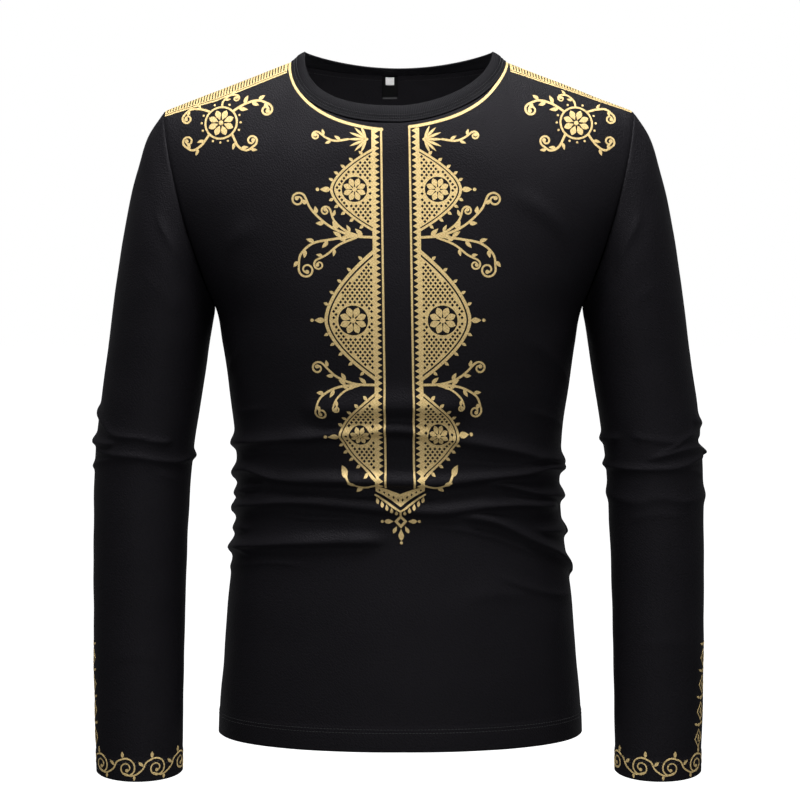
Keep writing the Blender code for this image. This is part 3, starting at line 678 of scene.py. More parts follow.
def rib_surface(turn, share):
    """The rib's outer face: turn runs round the neck, share from the seam to the free edge.

    turn goes from -90 degrees at the wearer's right over 0 at the front and 180 at the back.
    """
    turn, share = np.broadcast_arrays(turn, share)
    front, level = np.cos(turn) >= 0.0, np.abs(np.cos(turn))
    side, facing_in, up = (np.where(front, *ends) for ends in ((FRONT, BACK), RIB_IN, RIB_UP))
    x = NECK_HALF_WIDTH * np.sin(turn)
    feet = [body_surface(half, x, neckline_height(half, x)) for half in (FRONT, BACK)]
    up = RIB_SIDE_UP + (up - RIB_SIDE_UP) * level**2
    across = stack(-RIB_SIDE_IN * np.sin(turn), -side * facing_in * level, up)
    out = unit(stack(up * np.sin(turn), side * up * level, RIB_SIDE_IN))
    bulge = RIB_PROUD + RIB_BULGE * 4 * share * (1 - share)
    return np.where(front[..., None], *feet) + across * share[..., None] + out * bulge[..., None]


def neck_rib(material):
    """The rib as a tube of knit round the neck, folded over at its free edge, with real ribs."""
    turn = -np.pi / 2 + np.linspace(0.0, 2.0 * np.pi, RIB_SAMPLES)
    length = line_lengths(rib_surface(turn, 0.5))
    columns = RIB_COUNT * POINTS_PER_RIB
    turn = np.interp(np.linspace(0.0, length[-1], columns, endpoint=False), length, turn)
    shares = (np.cos(np.pi * np.linspace(1.0, 0.0, RIB_ROWS)) + 1.0) / 2.0
    shares = shares * (1.0 + RIB_UNDER_SEAM) - RIB_UNDER_SEAM
    grid = rib_surface(turn[None, :], shares[:, None])
    normals = grid_normals(grid, True, 1)
    ribs = RIB_DEPTH * np.cos(2.0 * np.pi * np.arange(columns) / POINTS_PER_RIB)
    from_seam = arc_lengths(grid, 0)
    stitched = sum(bell(from_seam - line, RIB_DENT_WIDTH) for line in RIB_STITCH_LINES)
    relief = ribs * (1.0 - 0.5 * np.minimum(stitched, 1.0)) - RIB_STITCH_DENT * stitched
    relief = relief + RIB_SEAM_ROLL * bell(from_seam, RIB_ROLL_WIDTH)
    moved = grid + normals * relief[..., None]
    uv, wall = stack(arc_lengths(grid, 1), from_seam), np.full(from_seam.shape, RIB_WALL)
    return cloth_shell("neck_rib_knit", moved, normals, wall, True, 1, uv, material, "neck_rib")


# Sewing

# A stitch, ring by ring: its place along the thread, its girth and how far it stands out, by radii
STITCH_SIDES = 6
STITCH_STOPS = np.array((0.0, 0.16, 0.5, 0.84, 1.0))
STITCH_SWELL = np.array((0.35, 0.85, 1.0, 0.85, 0.35))
STITCH_LIFT = np.array((-0.8, 0.1, 0.35, 0.1, -0.8))


def capped_tube(rings, sides, first=0):
    """Faces of a closed tube, whose points lie ring after ring from the first."""
    last = first + (rings - 1) * sides
    faces = [
        (low + s, low + (s + 1) % sides, low + sides + (s + 1) % sides, low + sides + s)
        for low in range(first, last, sides) for s in range(sides)
    ]
    near, far = range(first, first + sides), range(last, last + sides)
    return faces + [tuple(reversed(near)), tuple(far)]


def stitches(name, path, outward, length, gap, radius, material, node, closed=False):
    """Short threads along a path of points, each a slim closed capsule with its ends sunk in."""
    if closed:
        path, outward = join(path, path[:1]), join(outward, outward[:1])
    along = line_lengths(path)
    count = int(along[-1] / (length + gap))
    turn = np.arange(STITCH_SIDES) * 2.0 * np.pi / STITCH_SIDES
    points, faces = [], []
    for start in np.arange(count) * along[-1] / count:
        stops = start + STITCH_STOPS * length
        middle, out = sample(stops, along, path), unit(sample(stops, along, outward))
        aside = unit(np.cross(unit(np.gradient(middle, axis=0)), out))
        faces += capped_tube(len(stops), STITCH_SIDES, len(points))
        for centre, up, beside, swell, lift in zip(middle, out, aside, STITCH_SWELL, STITCH_LIFT):
            ring = np.outer(np.cos(turn), up) + np.outer(np.sin(turn), beside)
            points.extend(centre + up * radius * lift + ring * radius * swell)
    return make_piece(name, points, faces, material, node)


def row_at(grid, normals, distance):
    """The points and normals of a line over the grid at a distance from its first row."""
    from_edge = arc_lengths(grid, 0)
    points, outs = (
        np.array([sample(distance, from_edge[:, k], rows[:, k]) for k in range(grid.shape[1])])
        for rows in (grid, normals)
    )
    return points, unit(outs)


# The print is drawn flat, then laid on the cloth


class Drawing:
    """Flat shapes laid over each other, each ink or a gap in it. The plan's y runs down."""

    def __init__(self, mirror=False):
        self.shapes = []
        self.mirror = mirror

    def shape(self, points, ink=True):
        points = np.asarray(points, float)
        turned = np.roll(points, -1, axis=0)
        area = (points[:, 0] * turned[:, 1] - turned[:, 0] * points[:, 1]).sum()
        if abs(area) < 1e-6:
            return
        if area < 0:
            points = points[::-1]
        self.shapes.append((points, ink))
        if self.mirror:
            self.shapes.append(((points * (-1.0, 1.0))[::-1], ink))

    def disc(self, centre, radius, ink=True, sides=None):
        sides = sides or int(8 + 3 * radius)
        turn = np.arange(sides) * 2.0 * np.pi / sides
        self.shape(np.array(centre) + radius * stack(np.cos(turn), np.sin(turn)), ink)

    def lozenge(self, x, y, wide, tall, ink=True):
        self.shape([(x, y + tall), (x + wide, y), (x, y - tall), (x - wide, y)], ink)

    def stroke(self, line, width, tip=None):
        """A line of a width that narrows to tip at its end."""
        line = np.asarray(line, float)
        tip = width if tip is None else tip
        forward = unit(np.gradient(line, axis=0))
        half = (width + (tip - width) * np.linspace(0.0, 1.0, len(line)) ** 1.5)[:, None] / 2
        aside = stack(-forward[:, 1], forward[:, 0]) * half
        left, right = line + aside, line - aside
        for k in range(len(line) - 1):
            self.shape(hull([left[k], right[k], right[k + 1], left[k + 1]]))
        self.disc(line[0], width / 2, sides=8)
        self.disc(line[-1], tip / 2, sides=8)

    def leaf(self, base, angle, length, width, belly=1.0, bend=0.0):
        """A leaf or, with its belly over 1, a drop. The angle is in degrees from the plan's x."""
        share = np.linspace(0.0, 1.0, max(5, int(length / 1.6)))
        half = width / 2 * np.sin(np.pi * share**belly)
        along, aside = direction(angle), direction(angle + 90.0)
        middle = np.array(base) + np.outer(share * length, along) + np.outer(bend * share**2, aside)
        left, right = middle + np.outer(half, aside), middle - np.outer(half, aside)
        self.shape(join(left, right[-2:0:-1]))

    def rosette(self, centre, petals, inner, outer, width):
        for angle in (np.arange(petals) + 0.5) * 360.0 / petals:
            self.leaf(np.array(centre) + inner * direction(angle), angle, outer - inner, width, 1.3)

    def lattice(self, outline, column_step, row_step, hole, heart, heart_radius):
        """Small lozenge gaps in staggered rows inside an outline, off the disc at its heart."""
        low, high = outline.min(0), outline.max(0)
        for row, y in enumerate(np.arange(low[1], high[1], row_step)):
            for x in np.arange(low[0] + (row % 2) * column_step / 2, high[0], column_step):
                corners = np.array([(hole, 0), (0, hole), (-hole, 0), (0, -hole)]) / 2 + (x, y)
                clear = math.hypot(x - heart[0], y - heart[1]) >= heart_radius
                if clear and inside(corners, outline).all():
                    self.shape(corners, False)

    def lean(self, slope, level):
        """Slants the drawing: it moves across by the slope for each step below the level."""
        self.shapes = [
            (points + np.outer(points[:, 1] - level, (slope, 0.0)), ink) for points, ink in self.shapes
        ]

    def mesh(self, step):
        """Points and triangles of the ink, with the ink's wide places broken up by step."""
        points, faces = [], []
        for outline, ink in self.shapes:
            outline = divided(outline, step)
            faces.append(list(range(len(points), len(points) + len(outline))))
            points.extend(outline)
            low, high = outline.min(0), outline.max(0)
            if ink and (high - low).min() > 2.2 * step:
                columns = np.arange(low[0] + step / 2, high[0], step)
                rows = np.arange(low[1] + step / 2, high[1], step * 0.87)
                spread = stack(*np.meshgrid(columns, rows))
                spread[1::2, :, 0] += step / 2
                spread = spread.reshape(-1, 2)
                points.extend(spread[inside(spread, outline)])
        made = delaunay_2d_cdt([Vector(p) for p in points], [], faces, 1, 1e-4, True)
        corners, triangles, sources = np.array([tuple(p) for p in made[0]]), made[2], made[5]
        kept = [face for face, over in zip(triangles, sources) if over and self.shapes[max(over)][1]]
        kept = without_specks(corners, np.array([face for face in kept if len(face) == 3]))
        used, flat = np.unique(kept, return_inverse=True)
        return corners[used], flat.reshape(-1, 3)


def direction(angle):
    return np.array((math.cos(math.radians(angle)), math.sin(math.radians(angle))))


def cross(o, a, b):
    return (a[0] - o[0]) * (b[1] - o[1]) - (a[1] - o[1]) * (b[0] - o[0])


def hull(points):
    """The convex outline round a few flat points."""
    points, outline = sorted(tuple(p) for p in points), []
    for ordered in (points, points[::-1]):
        line = []
        for p in ordered:
            while len(line) > 1 and cross(line[-2], line[-1], p) <= 0:
                line.pop()
            line.append(p)
        outline += line[:-1]
    return outline


def inside(points, outline):
    """Which points lie inside a flat outline."""
    x, y = points[:, 0, None], points[:, 1, None]
    ax, ay = outline.T[:, None]
    bx, by = np.roll(ax, -1, axis=1), np.roll(ay, -1, axis=1)
    rise = np.where(by == ay, 1.0, by - ay)
    hits = ((ay > y) != (by > y)) & (x < (bx - ax) * (y - ay) / rise + ax)
    return hits.sum(1) % 2 == 1


def divided(outline, step):
    """The outline with no side longer than step."""
    parts = []
    for start, end in zip(outline, np.roll(outline, -1, axis=0)):
        count = max(1, math.ceil(np.linalg.norm(end - start) / step))
        parts.append(start + np.outer(np.arange(count) / count, end - start))
    return join(*parts)


def without_specks(points, triangles, least=0.6):
    """The triangles without patches of less than the least area."""
    patch, spread = None, np.arange(len(points))
    while patch is None or (patch != spread).any():
        patch, spread = spread, spread.copy()
        np.minimum.at(spread, triangles, patch[triangles].min(1, keepdims=True))
    owner = patch[triangles[:, 0]]
    areas = np.abs(cross(*(points[triangles[:, k]].T for k in range(3)))) / 2
    total = np.bincount(owner, areas, len(points))
    return triangles[(total[owner] > least) & (areas > 1e-7)]


def smooth_line(points, step=1.5):
    """An even line on a smooth curve through the points."""
    table = [(k, *point) for k, point in enumerate(points)]
    fine = along_rows(table, np.linspace(0.0, len(points) - 1.0, 24 * len(points))).T
    along = line_lengths(fine)
    return sample(np.linspace(0.0, along[-1], max(3, int(along[-1] / step) + 1)), along, fine)


def curl(line, radius, end_radius, turns, hand, step=1.5):
    """The line carried on into a spiral that leaves it smoothly, to the right where hand is 1."""
    forward = unit(line[-1] - line[-2])
    aside = np.array((-forward[1], forward[0])) * hand
    count = max(8, int(turns * math.pi * (radius + end_radius) / step))
    share = np.linspace(0.0, 1.0, count + 1)[1:]
    turn, size = share * turns * 2.0 * math.pi, radius + (end_radius - radius) * share
    ring = np.outer(size * np.sin(turn), forward) - np.outer(size * np.cos(turn), aside)
    return join(line, line[-1] + aside * radius + ring)


# The ink's faces above and in the cloth, then the front plan's step and the height of its top edge
INK_TOP = 0.00022
INK_BOTTOM = -0.00006
PLAN_STEP = 0.000914
PLAN_TOP = 0.0464
# How far under the shoulder line the front's print and the line round the neck end
PRINT_BELOW_RIDGE, CORD_BELOW_RIDGE = 0.0004, 0.0005
# The small steps that normals are taken over: metres, degrees and sleeve stations
FINE = 2e-5
FINE_ANGLE = 0.05
FINE_STATION = 0.002


def foil(name, flat, triangles, lay, material, node):
    """A thin closed skin of ink on the cloth. lay turns flat points to points, normals and UVs."""
    points, normals, uv = lay(flat)
    top, bottom = points + normals * INK_TOP, points + normals * INK_BOTTOM
    a, b, c = (top[triangles[:, k]] for k in range(3))
    if (np.cross(b - a, c - a) * normals[triangles[:, 0]]).sum() < 0:
        triangles = triangles[:, ::-1]
    edges = join(*(triangles[:, [k, (k + 1) % 3]] for k in range(3))).tolist()
    keys, count = set(map(tuple, edges)), len(flat)
    faces = triangles.tolist() + (triangles[:, ::-1] + count).tolist()
    faces += [(j, i, i + count, j + count) for i, j in edges if (j, i) not in keys]
    uvs = np.tile(uv, (2, 1))
    return make_piece(name, join(top, bottom), faces, material, node, uvs, sharp=45.0)


def outward_normals(surface, a, b, a_step, b_step):
    """Points of a surface and the direction across its two parameters."""
    point = surface(a, b)
    return point, unit(np.cross(surface(a + a_step, b) - point, surface(a, b + b_step) - point))


def lay_on_front(flat):
    """The front's plan: x steps from the middle, y steps down."""
    x, height = flat[:, 0] * PLAN_STEP, PLAN_TOP - flat[:, 1] * PLAN_STEP
    height = np.minimum(height, ridge_height(x) - PRINT_BELOW_RIDGE)
    point, outward = outward_normals(functools.partial(body_surface, FRONT), x, height, FINE, FINE)
    return point + outward * unevenness(point, "front_panel")[:, None], outward, stack(x, height)


def band_layer(side, panel):
    """The shoulder band's plan: millimetres out along the shoulder seam, and away from it."""

    def surface(x, away):
        depth = cloth_depth(side, x, ridge_height(x), 1.0)
        turn = away / np.maximum(depth, 0.01)
        height = ridge_height(x) - SHOULDER_ROUND * (1.0 - np.cos(turn))
        return body_surface(side, x, height, np.sin(turn))

    def lay(flat):
        x, away = flat.T / 1000.0
        point, outward = outward_normals(surface, x, away, FINE, FINE)
        outward = outward * np.sign(outward[:, 2:])
        rise = unevenness(point, panel) - SEAM_DIP * bell(away, SEAM_DIP_WIDTH)
        return point + outward * rise[:, None], outward, flat / 1000.0

    return lay


def cuff_layer(hand, sleeve):
    """The sleeve's plan: millimetres round from the outer side to the front, and up from the cuff."""
    surface = functools.partial(sleeve_surface, hand)
    angles = np.linspace(180.0, -180.0, 361)
    stations = np.linspace(LAST_STATION, LAST_STATION - 4.0, 81)
    around = line_lengths(surface(LAST_STATION - 0.5, angles)) * 1000.0
    up = line_lengths(surface(stations, 180.0)) * 1000.0

    def lay(flat):
        angle = np.interp(flat[:, 0] % around[-1], around, angles)
        station = np.interp(flat[:, 1], up, stations)
        point, inward = outward_normals(
            lambda *place: surface(*place[::-1]), angle, station, FINE_ANGLE, FINE_STATION
        )
        rise = hem_relief(flat[:, 1] / 1000.0, CUFF_STITCH_LINES) + unevenness(point, sleeve)
        return point - inward * hand * rise[:, None], inward * -hand, flat / 1000.0

    return lay, around[-1]


# Motifs

BAND_EDGE = 23.6
BULGE = 1.7
# A lozenge's outline, the gap, its field and the lattice in it, as shares of the whole
LOZENGE_RINGS = (1.0, 0.935, 0.90, 0.88)
# Where a lozenge's rosette lies and its radius, as shares of how far it stands out, and its margin
HEART_PLACE, HEART_SIZE, HEART_MARGIN = 0.42, 0.30, 2.4
# The lattice's column step, row step and hole
LATTICE = (4.7, 3.1, 3.4)


def half_lozenge(drawing, top, middle, bottom, reach):
    """A bowed lozenge cut by the band: edge line, gap, latticed field and a rosette."""
    size = reach - BAND_EDGE

    def edge(share, end):
        return stack(BAND_EDGE + size * (1.0 - (1.0 - share) ** BULGE), end + (middle - end) * share)

    share = np.linspace(0.0, 1.0, 13)
    whole, centre = join(edge(share, top), edge(share, bottom)[-2::-1]), (BAND_EDGE, middle)
    outlines = [(whole - centre) * scale + centre for scale in LOZENGE_RINGS]
    for outline, ink in zip(outlines, (True, False, True)):
        drawing.shape(outline, ink)
    heart = (BAND_EDGE + size * HEART_PLACE, middle)
    drawing.lattice(outlines[3], *LATTICE, heart, size * HEART_SIZE + HEART_MARGIN)
    drawing.disc(heart, size * HEART_SIZE, False)
    drawing.rosette(heart, 8, size * 0.05, size * 0.28, size * 0.135)
    drawing.disc(heart, size * 0.055)
    for share in (0.14, 0.30, 0.46, 0.62, 0.78):
        for end, out in ((top, -1.0), (bottom, 1.0)):
            away = math.degrees(math.atan2(out, 1.0 + 1.2 * share))
            drawing.leaf(edge(share, end) - 0.4 * direction(away), away, 5.2, 3.2, 0.8)
    drawing.leaf((reach - 0.5, middle), 0.0, 10.5, 5.6, 0.75)
    drawing.disc((reach + 12.4, middle), 1.7)


def leafy_stem(drawing, points, width, leaves, hand, radius, turns, size):
    """A stem that ends in a curl, with leaves on both sides."""
    line = smooth_line(points)
    whole = curl(line, radius, radius * 0.28, turns, hand)
    drawing.stroke(whole, width, width * 0.7)
    drawing.disc(whole[-1], width * 0.85)
    for k in range(leaves):
        place = int((k + 0.9) / (leaves + 0.4) * (len(line) - 1))
        forward = line[min(place + 1, len(line) - 1)] - line[place - 1]
        side = 1 if k % 2 else -1
        tilt = math.degrees(math.atan2(forward[1], forward[0])) + side * 52.0
        start, length = line[place] + direction(tilt) * width * 0.3, size * (1.0 - 0.07 * k)
        drawing.leaf(start, tilt, length, size * 0.42, 0.85, -side * size * 0.16)


def border(drawing, top, bottom):
    """Two upright lines with sawtooth triangles between."""
    for left, right in ((13.2, 15.2), (20.4, 24.0)):
        drawing.shape([(left, top), (right, top), (right, bottom), (left, bottom)])
    teeth = round((bottom - top) / 6.0)
    pitch = (bottom - top) / teeth
    for y in top + pitch * np.arange(teeth):
        drawing.shape([(20.6, y + 0.4), (20.6, y + pitch - 0.4), (16.2, y + pitch / 2)])


# Stems by their points, width, leaves, turning hand, curl radius, turns and leaf length
CHEST_STEMS = (
    ([(47, 139.5), (60, 141), (69, 138), (77, 132)], 2.2, 3, 1, 4.6, 1.2, 7.5),
    ([(23, 238), (44, 236), (66, 227), (84, 211), (91, 197)], 2.5, 6, 1, 7.5, 1.3, 10.5),
    ([(44, 237), (66, 240), (84, 244), (96, 255), (98, 269)], 2.4, 5, 1, 8.0, 1.3, 10.0),
    ([(36, 237), (51, 231), (62, 221), (66, 210)], 2.2, 3, 1, 5.0, 1.2, 8.0),
    ([(40, 238), (57, 245), (70, 255), (80, 260)], 2.2, 3, 1, 5.5, 1.2, 8.0),
    ([(23, 384), (44, 383), (62, 376), (76, 363)], 2.4, 5, 1, 6.5, 1.2, 9.5),
    ([(43, 384), (62, 387), (77, 396), (82, 409)], 2.3, 4, 1, 6.5, 1.2, 9.0),
    ([(38, 384), (52, 389), (61, 397), (64, 405)], 2.0, 2, 1, 3.6, 1.1, 7.0),
)
# The shoulder's stems, each from a dot of the ring
SHOULDER_STEMS = {
    10: ([(156, 101), (143, 98), (132, 102)], 2.6, 5, -1, 6.6, 1.3, 10.0),
    14: ([(204, 106), (214, 106), (221, 112)], 2.4, 2, 1, 5.6, 1.2, 7.0),
    2: ([(201, 144), (210, 149), (218, 145)], 2.4, 3, -1, 6.0, 1.2, 8.0),
    6: ([(162, 146), (153, 150), (145, 145)], 2.4, 3, 1, 6.0, 1.2, 8.0),
    12: ([(180, 98), (174, 92), (167, 91)], 2.0, 2, -1, 4.0, 1.1, 6.5),
}


def chest_drawing():
    drawing = Drawing(mirror=True)
    border(drawing, 127.8, 487.0)
    # A palmette of leaves that fan out from a bud
    for angle in (-66, -44, -22, 0, 22, 44, 66):
        length = 19.5 * (0.62 + 0.38 * math.cos(math.radians(angle)))
        drawing.leaf((28.5, 139.5), angle, length, 2.6, 1.15)
    drawing.disc((28.5, 139.5), 1.43)
    leafy_stem(drawing, *CHEST_STEMS[0])
    half_lozenge(drawing, 149.0, 190.0, 232.0, 66.0)
    half_lozenge(drawing, 250.0, 320.0, 380.0, 73.0)
    half_lozenge(drawing, 391.0, 434.0, 479.0, 59.0)
    for stem in CHEST_STEMS[1:]:
        leafy_stem(drawing, *stem)
    drawing.stroke(smooth_line([(23, 483), (35, 487), (46, 483), (53, 474)]), 2.5, 1.8)
    drawing.leaf((52, 476), -60, 12, 5.8, 0.85)
    drawing.leaf((37, 486), 42, 9, 4.8, 0.85)
    drawing.leaf((43, 484), -22, 9, 4.6, 0.85)
    # The foot: a pierced chevron, a plain one and drops
    drawing.shape([(24.4, 484.0), (24.4, 491.0), (0.0, 505.5), (0.0, 494.5)])
    for k in range(5):
        x, y = 20.6 - 4.6 * k, 490.0 + 2.55 * k
        drawing.shape([(x - 1.2, y + 0.4), (x, y - 1.6), (x + 1.2, y - 0.4), (x, y + 1.6)], False)
    drawing.stroke(np.linspace((25.0, 495.0), (0.0, 509.6), 18), 1.8)
    for k in range(5):
        drawing.leaf((23.6 - 4.9 * k, 497.6 + 2.85 * k), 108.0 - 5 * k, 5.6, 3.4, 1.3)
    drawing.mirror = False
    drawing.stroke(np.linspace((0, 509), (0, 517), 7), 2.0)
    drawing.lozenge(0, 522, 6.5, 7)
    drawing.lozenge(0, 522, 3.1, 3.4, False)
    drawing.mirror = True
    drawing.leaf((7.2, 522), 0, 9.5, 5.0, 1.3)
    drawing.disc((18.6, 522), 1.5)
    drawing.leaf((4.2, 527), 62, 8.0, 4.0, 1.3)
    drawing.mirror = False
    drawing.leaf((0, 529.5), 90, 12.0, 5.6, 1.35)
    drawing.disc((0, 543.6), 1.5)
    drawing.lean(0.0148, 369.0)
    return drawing


# How far the neck line's middle lies off the neckline: degrees round from the front, and millimetres
CORD_OFF = {
    -1: ((0, 8.4), (11, 7.8), (24, 6.4), (34, 5.4), (43, 4.3), (56, 2.7), (70, 2.1), (90, 2.4)),
    1: ((0, 6.0), (17, 5.8), (30, 6.3), (42, 5.7), (52, 4.5), (62, 2.9), (72, 2.1), (90, 2.0)),
}


def neck_cord(drawing):
    """The line that runs round the neck from the bands' tops to the shoulder seams."""
    for hand, start in ((-1, 8.6), (1, 5.2)):
        degrees = np.linspace(start, 90.0, 70)
        off = along_rows(CORD_OFF[hand], degrees)[0] / 1000.0
        x = hand * NECK_HALF_WIDTH * np.sin(np.radians(degrees))
        height = neckline_height(FRONT, x)
        forward = unit(np.gradient(stack(x, height), axis=0)) * hand
        x, height = x + forward[:, 1] * off, height - forward[:, 0] * off
        below_ridge = ridge_height(x) - CORD_BELOW_RIDGE
        height = np.minimum(height, below_ridge)
        height[-1] = below_ridge[-1]
        drawing.stroke(stack(x, PLAN_TOP - height) / PLAN_STEP, 2.9)


def shoulder_drawing():
    drawing = Drawing(mirror=True)
    centre, dots = np.array((181.0, 121.0)), 16
    drawing.disc(centre, 17.5)
    drawing.disc(centre, 15.5, False)
    drawing.rosette(centre, 8, 3.0, 14.0, 6.4)
    drawing.disc(centre, 2.4)
    for k in range(dots):
        if k not in SHOULDER_STEMS:
            drawing.disc(centre + 20.4 * direction(360.0 / dots * k), 1.2, sides=8)
    for k, (points, *stem) in SHOULDER_STEMS.items():
        leafy_stem(drawing, [centre + 16.8 * direction(360.0 / dots * k), *points], *stem)
    return drawing


BAND_PLACES = (105.0, 172.0, 221.0)
BAND_WIDTHS = {
    (FRONT, 1): (26.0, 18.0, 10.0), (FRONT, -1): (27.0, 27.0, 16.0),
    (BACK, 1): (20.0, 16.0, 10.0), (BACK, -1): (20.0, 16.0, 10.0),
}
HATCH = 2.7


def band_drawing(widths):
    """A finely hatched band that narrows to the shoulder tip, with a plain line on its far edge."""
    drawing = Drawing()
    start, end = BAND_PLACES[0], BAND_PLACES[-1]
    along = np.linspace(start, end, 40)
    for near, short, ink in ((0.5, 0.0, True), (1.6, 1.9, False), (1.6, 2.8, True)):
        far = np.interp(along, BAND_PLACES, widths) - short
        drawing.shape(join(stack(along, near), stack(along, far)[::-1]), ink)
    for x in np.arange(start + HATCH, end - HATCH / 2, HATCH):
        top, gap = np.interp(x, BAND_PLACES, widths) - 4.0, 0.42 * HATCH
        drawing.shape([(x, 2.2), (x + gap, 2.2), (x + gap, top), (x, top)], False)
    return drawing


# Where the chain starts and ends, millimetres round from the outer side towards the front
CHAIN_ENDS = {-1: (8.0, 6.5), 1: (17.0, 8.0)}


def cuff_drawing(around, chain_ends):
    """A vine scroll round the cuff, and a chain of small motifs up the sleeve's outer side."""
    drawing = Drawing()
    curls, middle = 8, 11.8
    pitch = around / curls
    for k in range(curls):
        at = (k + 0.5) * pitch - around / 2
        line = smooth_line([
            (at + x * pitch, middle + y)
            for x, y in ((-0.96, -4.4), (-0.62, -6.6), (-0.30, -1.2), (-0.16, 5.4), (0.04, 8.4))
        ], 1.1)
        spiral = curl(line, 9.2, 2.0, 1.55, -1, 1.1)
        drawing.stroke(spiral, 1.5, 1.1)
        drawing.disc(spiral[-1], 1.6)
        drawing.leaf((at - 0.26 * pitch, middle + 2.0), 138.0, 6.4, 3.0, 0.85)
        drawing.leaf((at + 0.04 * pitch, middle + 9.0), 90.0, 6.2, 3.2, 0.9)
        drawing.leaf((at - 0.56 * pitch, middle - 6.6), -96.0, 4.6, 2.6, 0.9)
    low, high, links = 22.0, 121.0, 4
    pitch = (high - low) / links
    for k in range(links):
        height = low + pitch * (k + 0.5)
        x = np.interp(height, (low, high), chain_ends)
        drawing.lozenge(x, height, 6.2, 9.0)
        drawing.lozenge(x, height, 4.96, 7.2, False)
        drawing.leaf((x, height - 3.6), 90.0, 7.2, 2.6)
        drawing.disc((x, height + pitch / 2), 1.7)
        for side in (-1, 1):
            base = x + side * 2.0, height + pitch / 2
            drawing.leaf(base, 90.0 - side * 66.0, 5.4, 2.4, 0.85)
    return drawing


# The label and its size tab


def inside_back(x, height, inwards):
    """Points inside the back panel's inner face, and the direction to the wearer's neck."""
    surface = functools.partial(body_surface, BACK)
    here, inward = outward_normals(surface, x, height, *[LABEL_NORMAL_STEP] * 2)
    return here + inward * inwards[..., None], inward


LABEL_X, LABEL_BELOW_SEAM = -0.0088, 0.0001
LABEL_ROWS, LABEL_COLUMNS = 33, 25
LABEL_BOW, LABEL_WAVE = 0.00025, 0.00012
LABEL_NORMAL_STEP = 0.001
FOLD_SIDES, FOLD_FLATNESS = 20, 0.6


def label_piece(name, middle_x, width, length, inwards, lift, thickness, material):
    """A woven ribbon sewn on along its top, its lower end standing off the cloth by lift."""
    down = np.linspace(1.0, 0.0, LABEL_ROWS)[:, None]
    across = np.linspace(-0.5, 0.5, LABEL_COLUMNS)[None, :]
    top = float(neckline_height(BACK, np.array(middle_x))) - LABEL_BELOW_SEAM
    x, height = np.broadcast_arrays(middle_x + across * width, top - down * length)
    off = inwards + lift * down**1.6 + LABEL_BOW * np.cos(across * np.pi) * (1.0 - down)
    off = off + LABEL_WAVE * np.sin(down * 9.0 + across * 4.0)
    grid = inside_back(x, height, off)[0]
    normals = grid_normals(grid, False, 1)
    wall, uv = np.full(x.shape, thickness), stack(x, height)
    cloth_shell(f"{name}_ribbon", grid, normals, wall, False, 1, uv, material, name)
    return grid, normals


def fold_bar(name, grid, normals, rows, radius, material, node):
    """The ribbon's turned-up end: a flattened roll of cloth along the label's lowest rows."""
    middle, out = grid[:rows].mean(0), unit(normals[:rows].mean(0))
    height = grid[0] - grid[rows - 1]
    down, half_height = unit(height), np.linalg.norm(height, axis=-1).mean() / 2
    turn = np.linspace(0.0, 2.0 * np.pi, FOLD_SIDES, endpoint=False)
    flattened = np.sign(np.cos(turn)) * np.abs(np.cos(turn)) ** FOLD_FLATNESS * half_height
    points = middle[:, None] + flattened[:, None] * down[:, None]
    points = points + (np.sin(turn) * radius)[:, None] * out[:, None]
    uvs = stack(middle[:, :1], turn * 0.0005).reshape(-1, 2)
    faces = capped_tube(len(middle), len(turn))
    return make_piece(name, points.reshape(-1, 3), faces, material, node, uvs)


# Build

gold = surface_material(
    "gold_print",
    [("loops", 0.45, KNIT_PITCH), ("noise", 0.40, 700.0, 3.0), ("noise", 0.15, 22.0, 3.0, "Object")],
    (0.27, 0.178, 0.060), (0.71, 0.55, 0.268), (0.40, 0.56), (0.00030, 0.8),
    Metallic=0.18, Specular_IOR_Level=0.12,
)
jersey = surface_material(
    "black_jersey", [("loops", 0.22, KNIT_PITCH), ("noise", 0.78, 520.0)],
    (0.0018, 0.0017, 0.0021), (0.0107, 0.0100, 0.0119), (0.46, 0.54), (0.00062, 1.0),
    dye=(0.25, 9.0, 4.0), Specular_IOR_Level=0.044, Specular_Tint=(0.94, 0.91, 1.0, 1.0),
)
rib_knit = surface_material(
    "rib_knit", [("rows", 0.3, 0.0009), ("noise", 0.4, 1100.0), ("noise", 0.3, 30.0, 3.0, "Object")],
    (0.0010, 0.0010, 0.0013), (0.0084, 0.0082, 0.0096), (0.46, 0.56), (0.00034, 0.9),
    Specular_IOR_Level=0.034, Specular_Tint=(0.94, 0.92, 1.0, 1.0),
)
black_thread, white_thread = (
    surface_material(
        name, [("noise", 1.0, 2600.0, 2.0, "Object")], low, high, (0.49, 0.63), (0.00008, 0.5),
        Specular_IOR_Level=0.3, Sheen_Weight=0.05,
    )
    for name, low, high in (
        ("black_thread", (0.006, 0.006, 0.007), (0.016, 0.016, 0.018)),
        ("white_thread", (0.45, 0.45, 0.44), (0.75, 0.75, 0.73)),
    )
)
ribbon, painted_highlight_fold_cloth, tab_cloth = (
    surface_material(
        name, [("weave", 0.5, pitch), ("noise", 0.5, 1500.0)], low, high, (0.50, 0.66), (0.00010, 0.5),
        Specular_IOR_Level=gloss,
    )
    for name, low, high, pitch, gloss in (
        ("label_ribbon", (0.0016, 0.0016, 0.0017), (0.0054, 0.0054, 0.0056), 0.0005, 0.03),
        # The label's fold is a lighter copy of its black ribbon: a painted highlight along the roll of
        # the fold
        ("label_fold", (0.030, 0.030, 0.031), (0.075, 0.075, 0.078), 0.0006, 0.2),
        ("tab_ribbon", (0.74, 0.74, 0.73), (0.94, 0.94, 0.92), 0.0006, 0.3),
    )
)

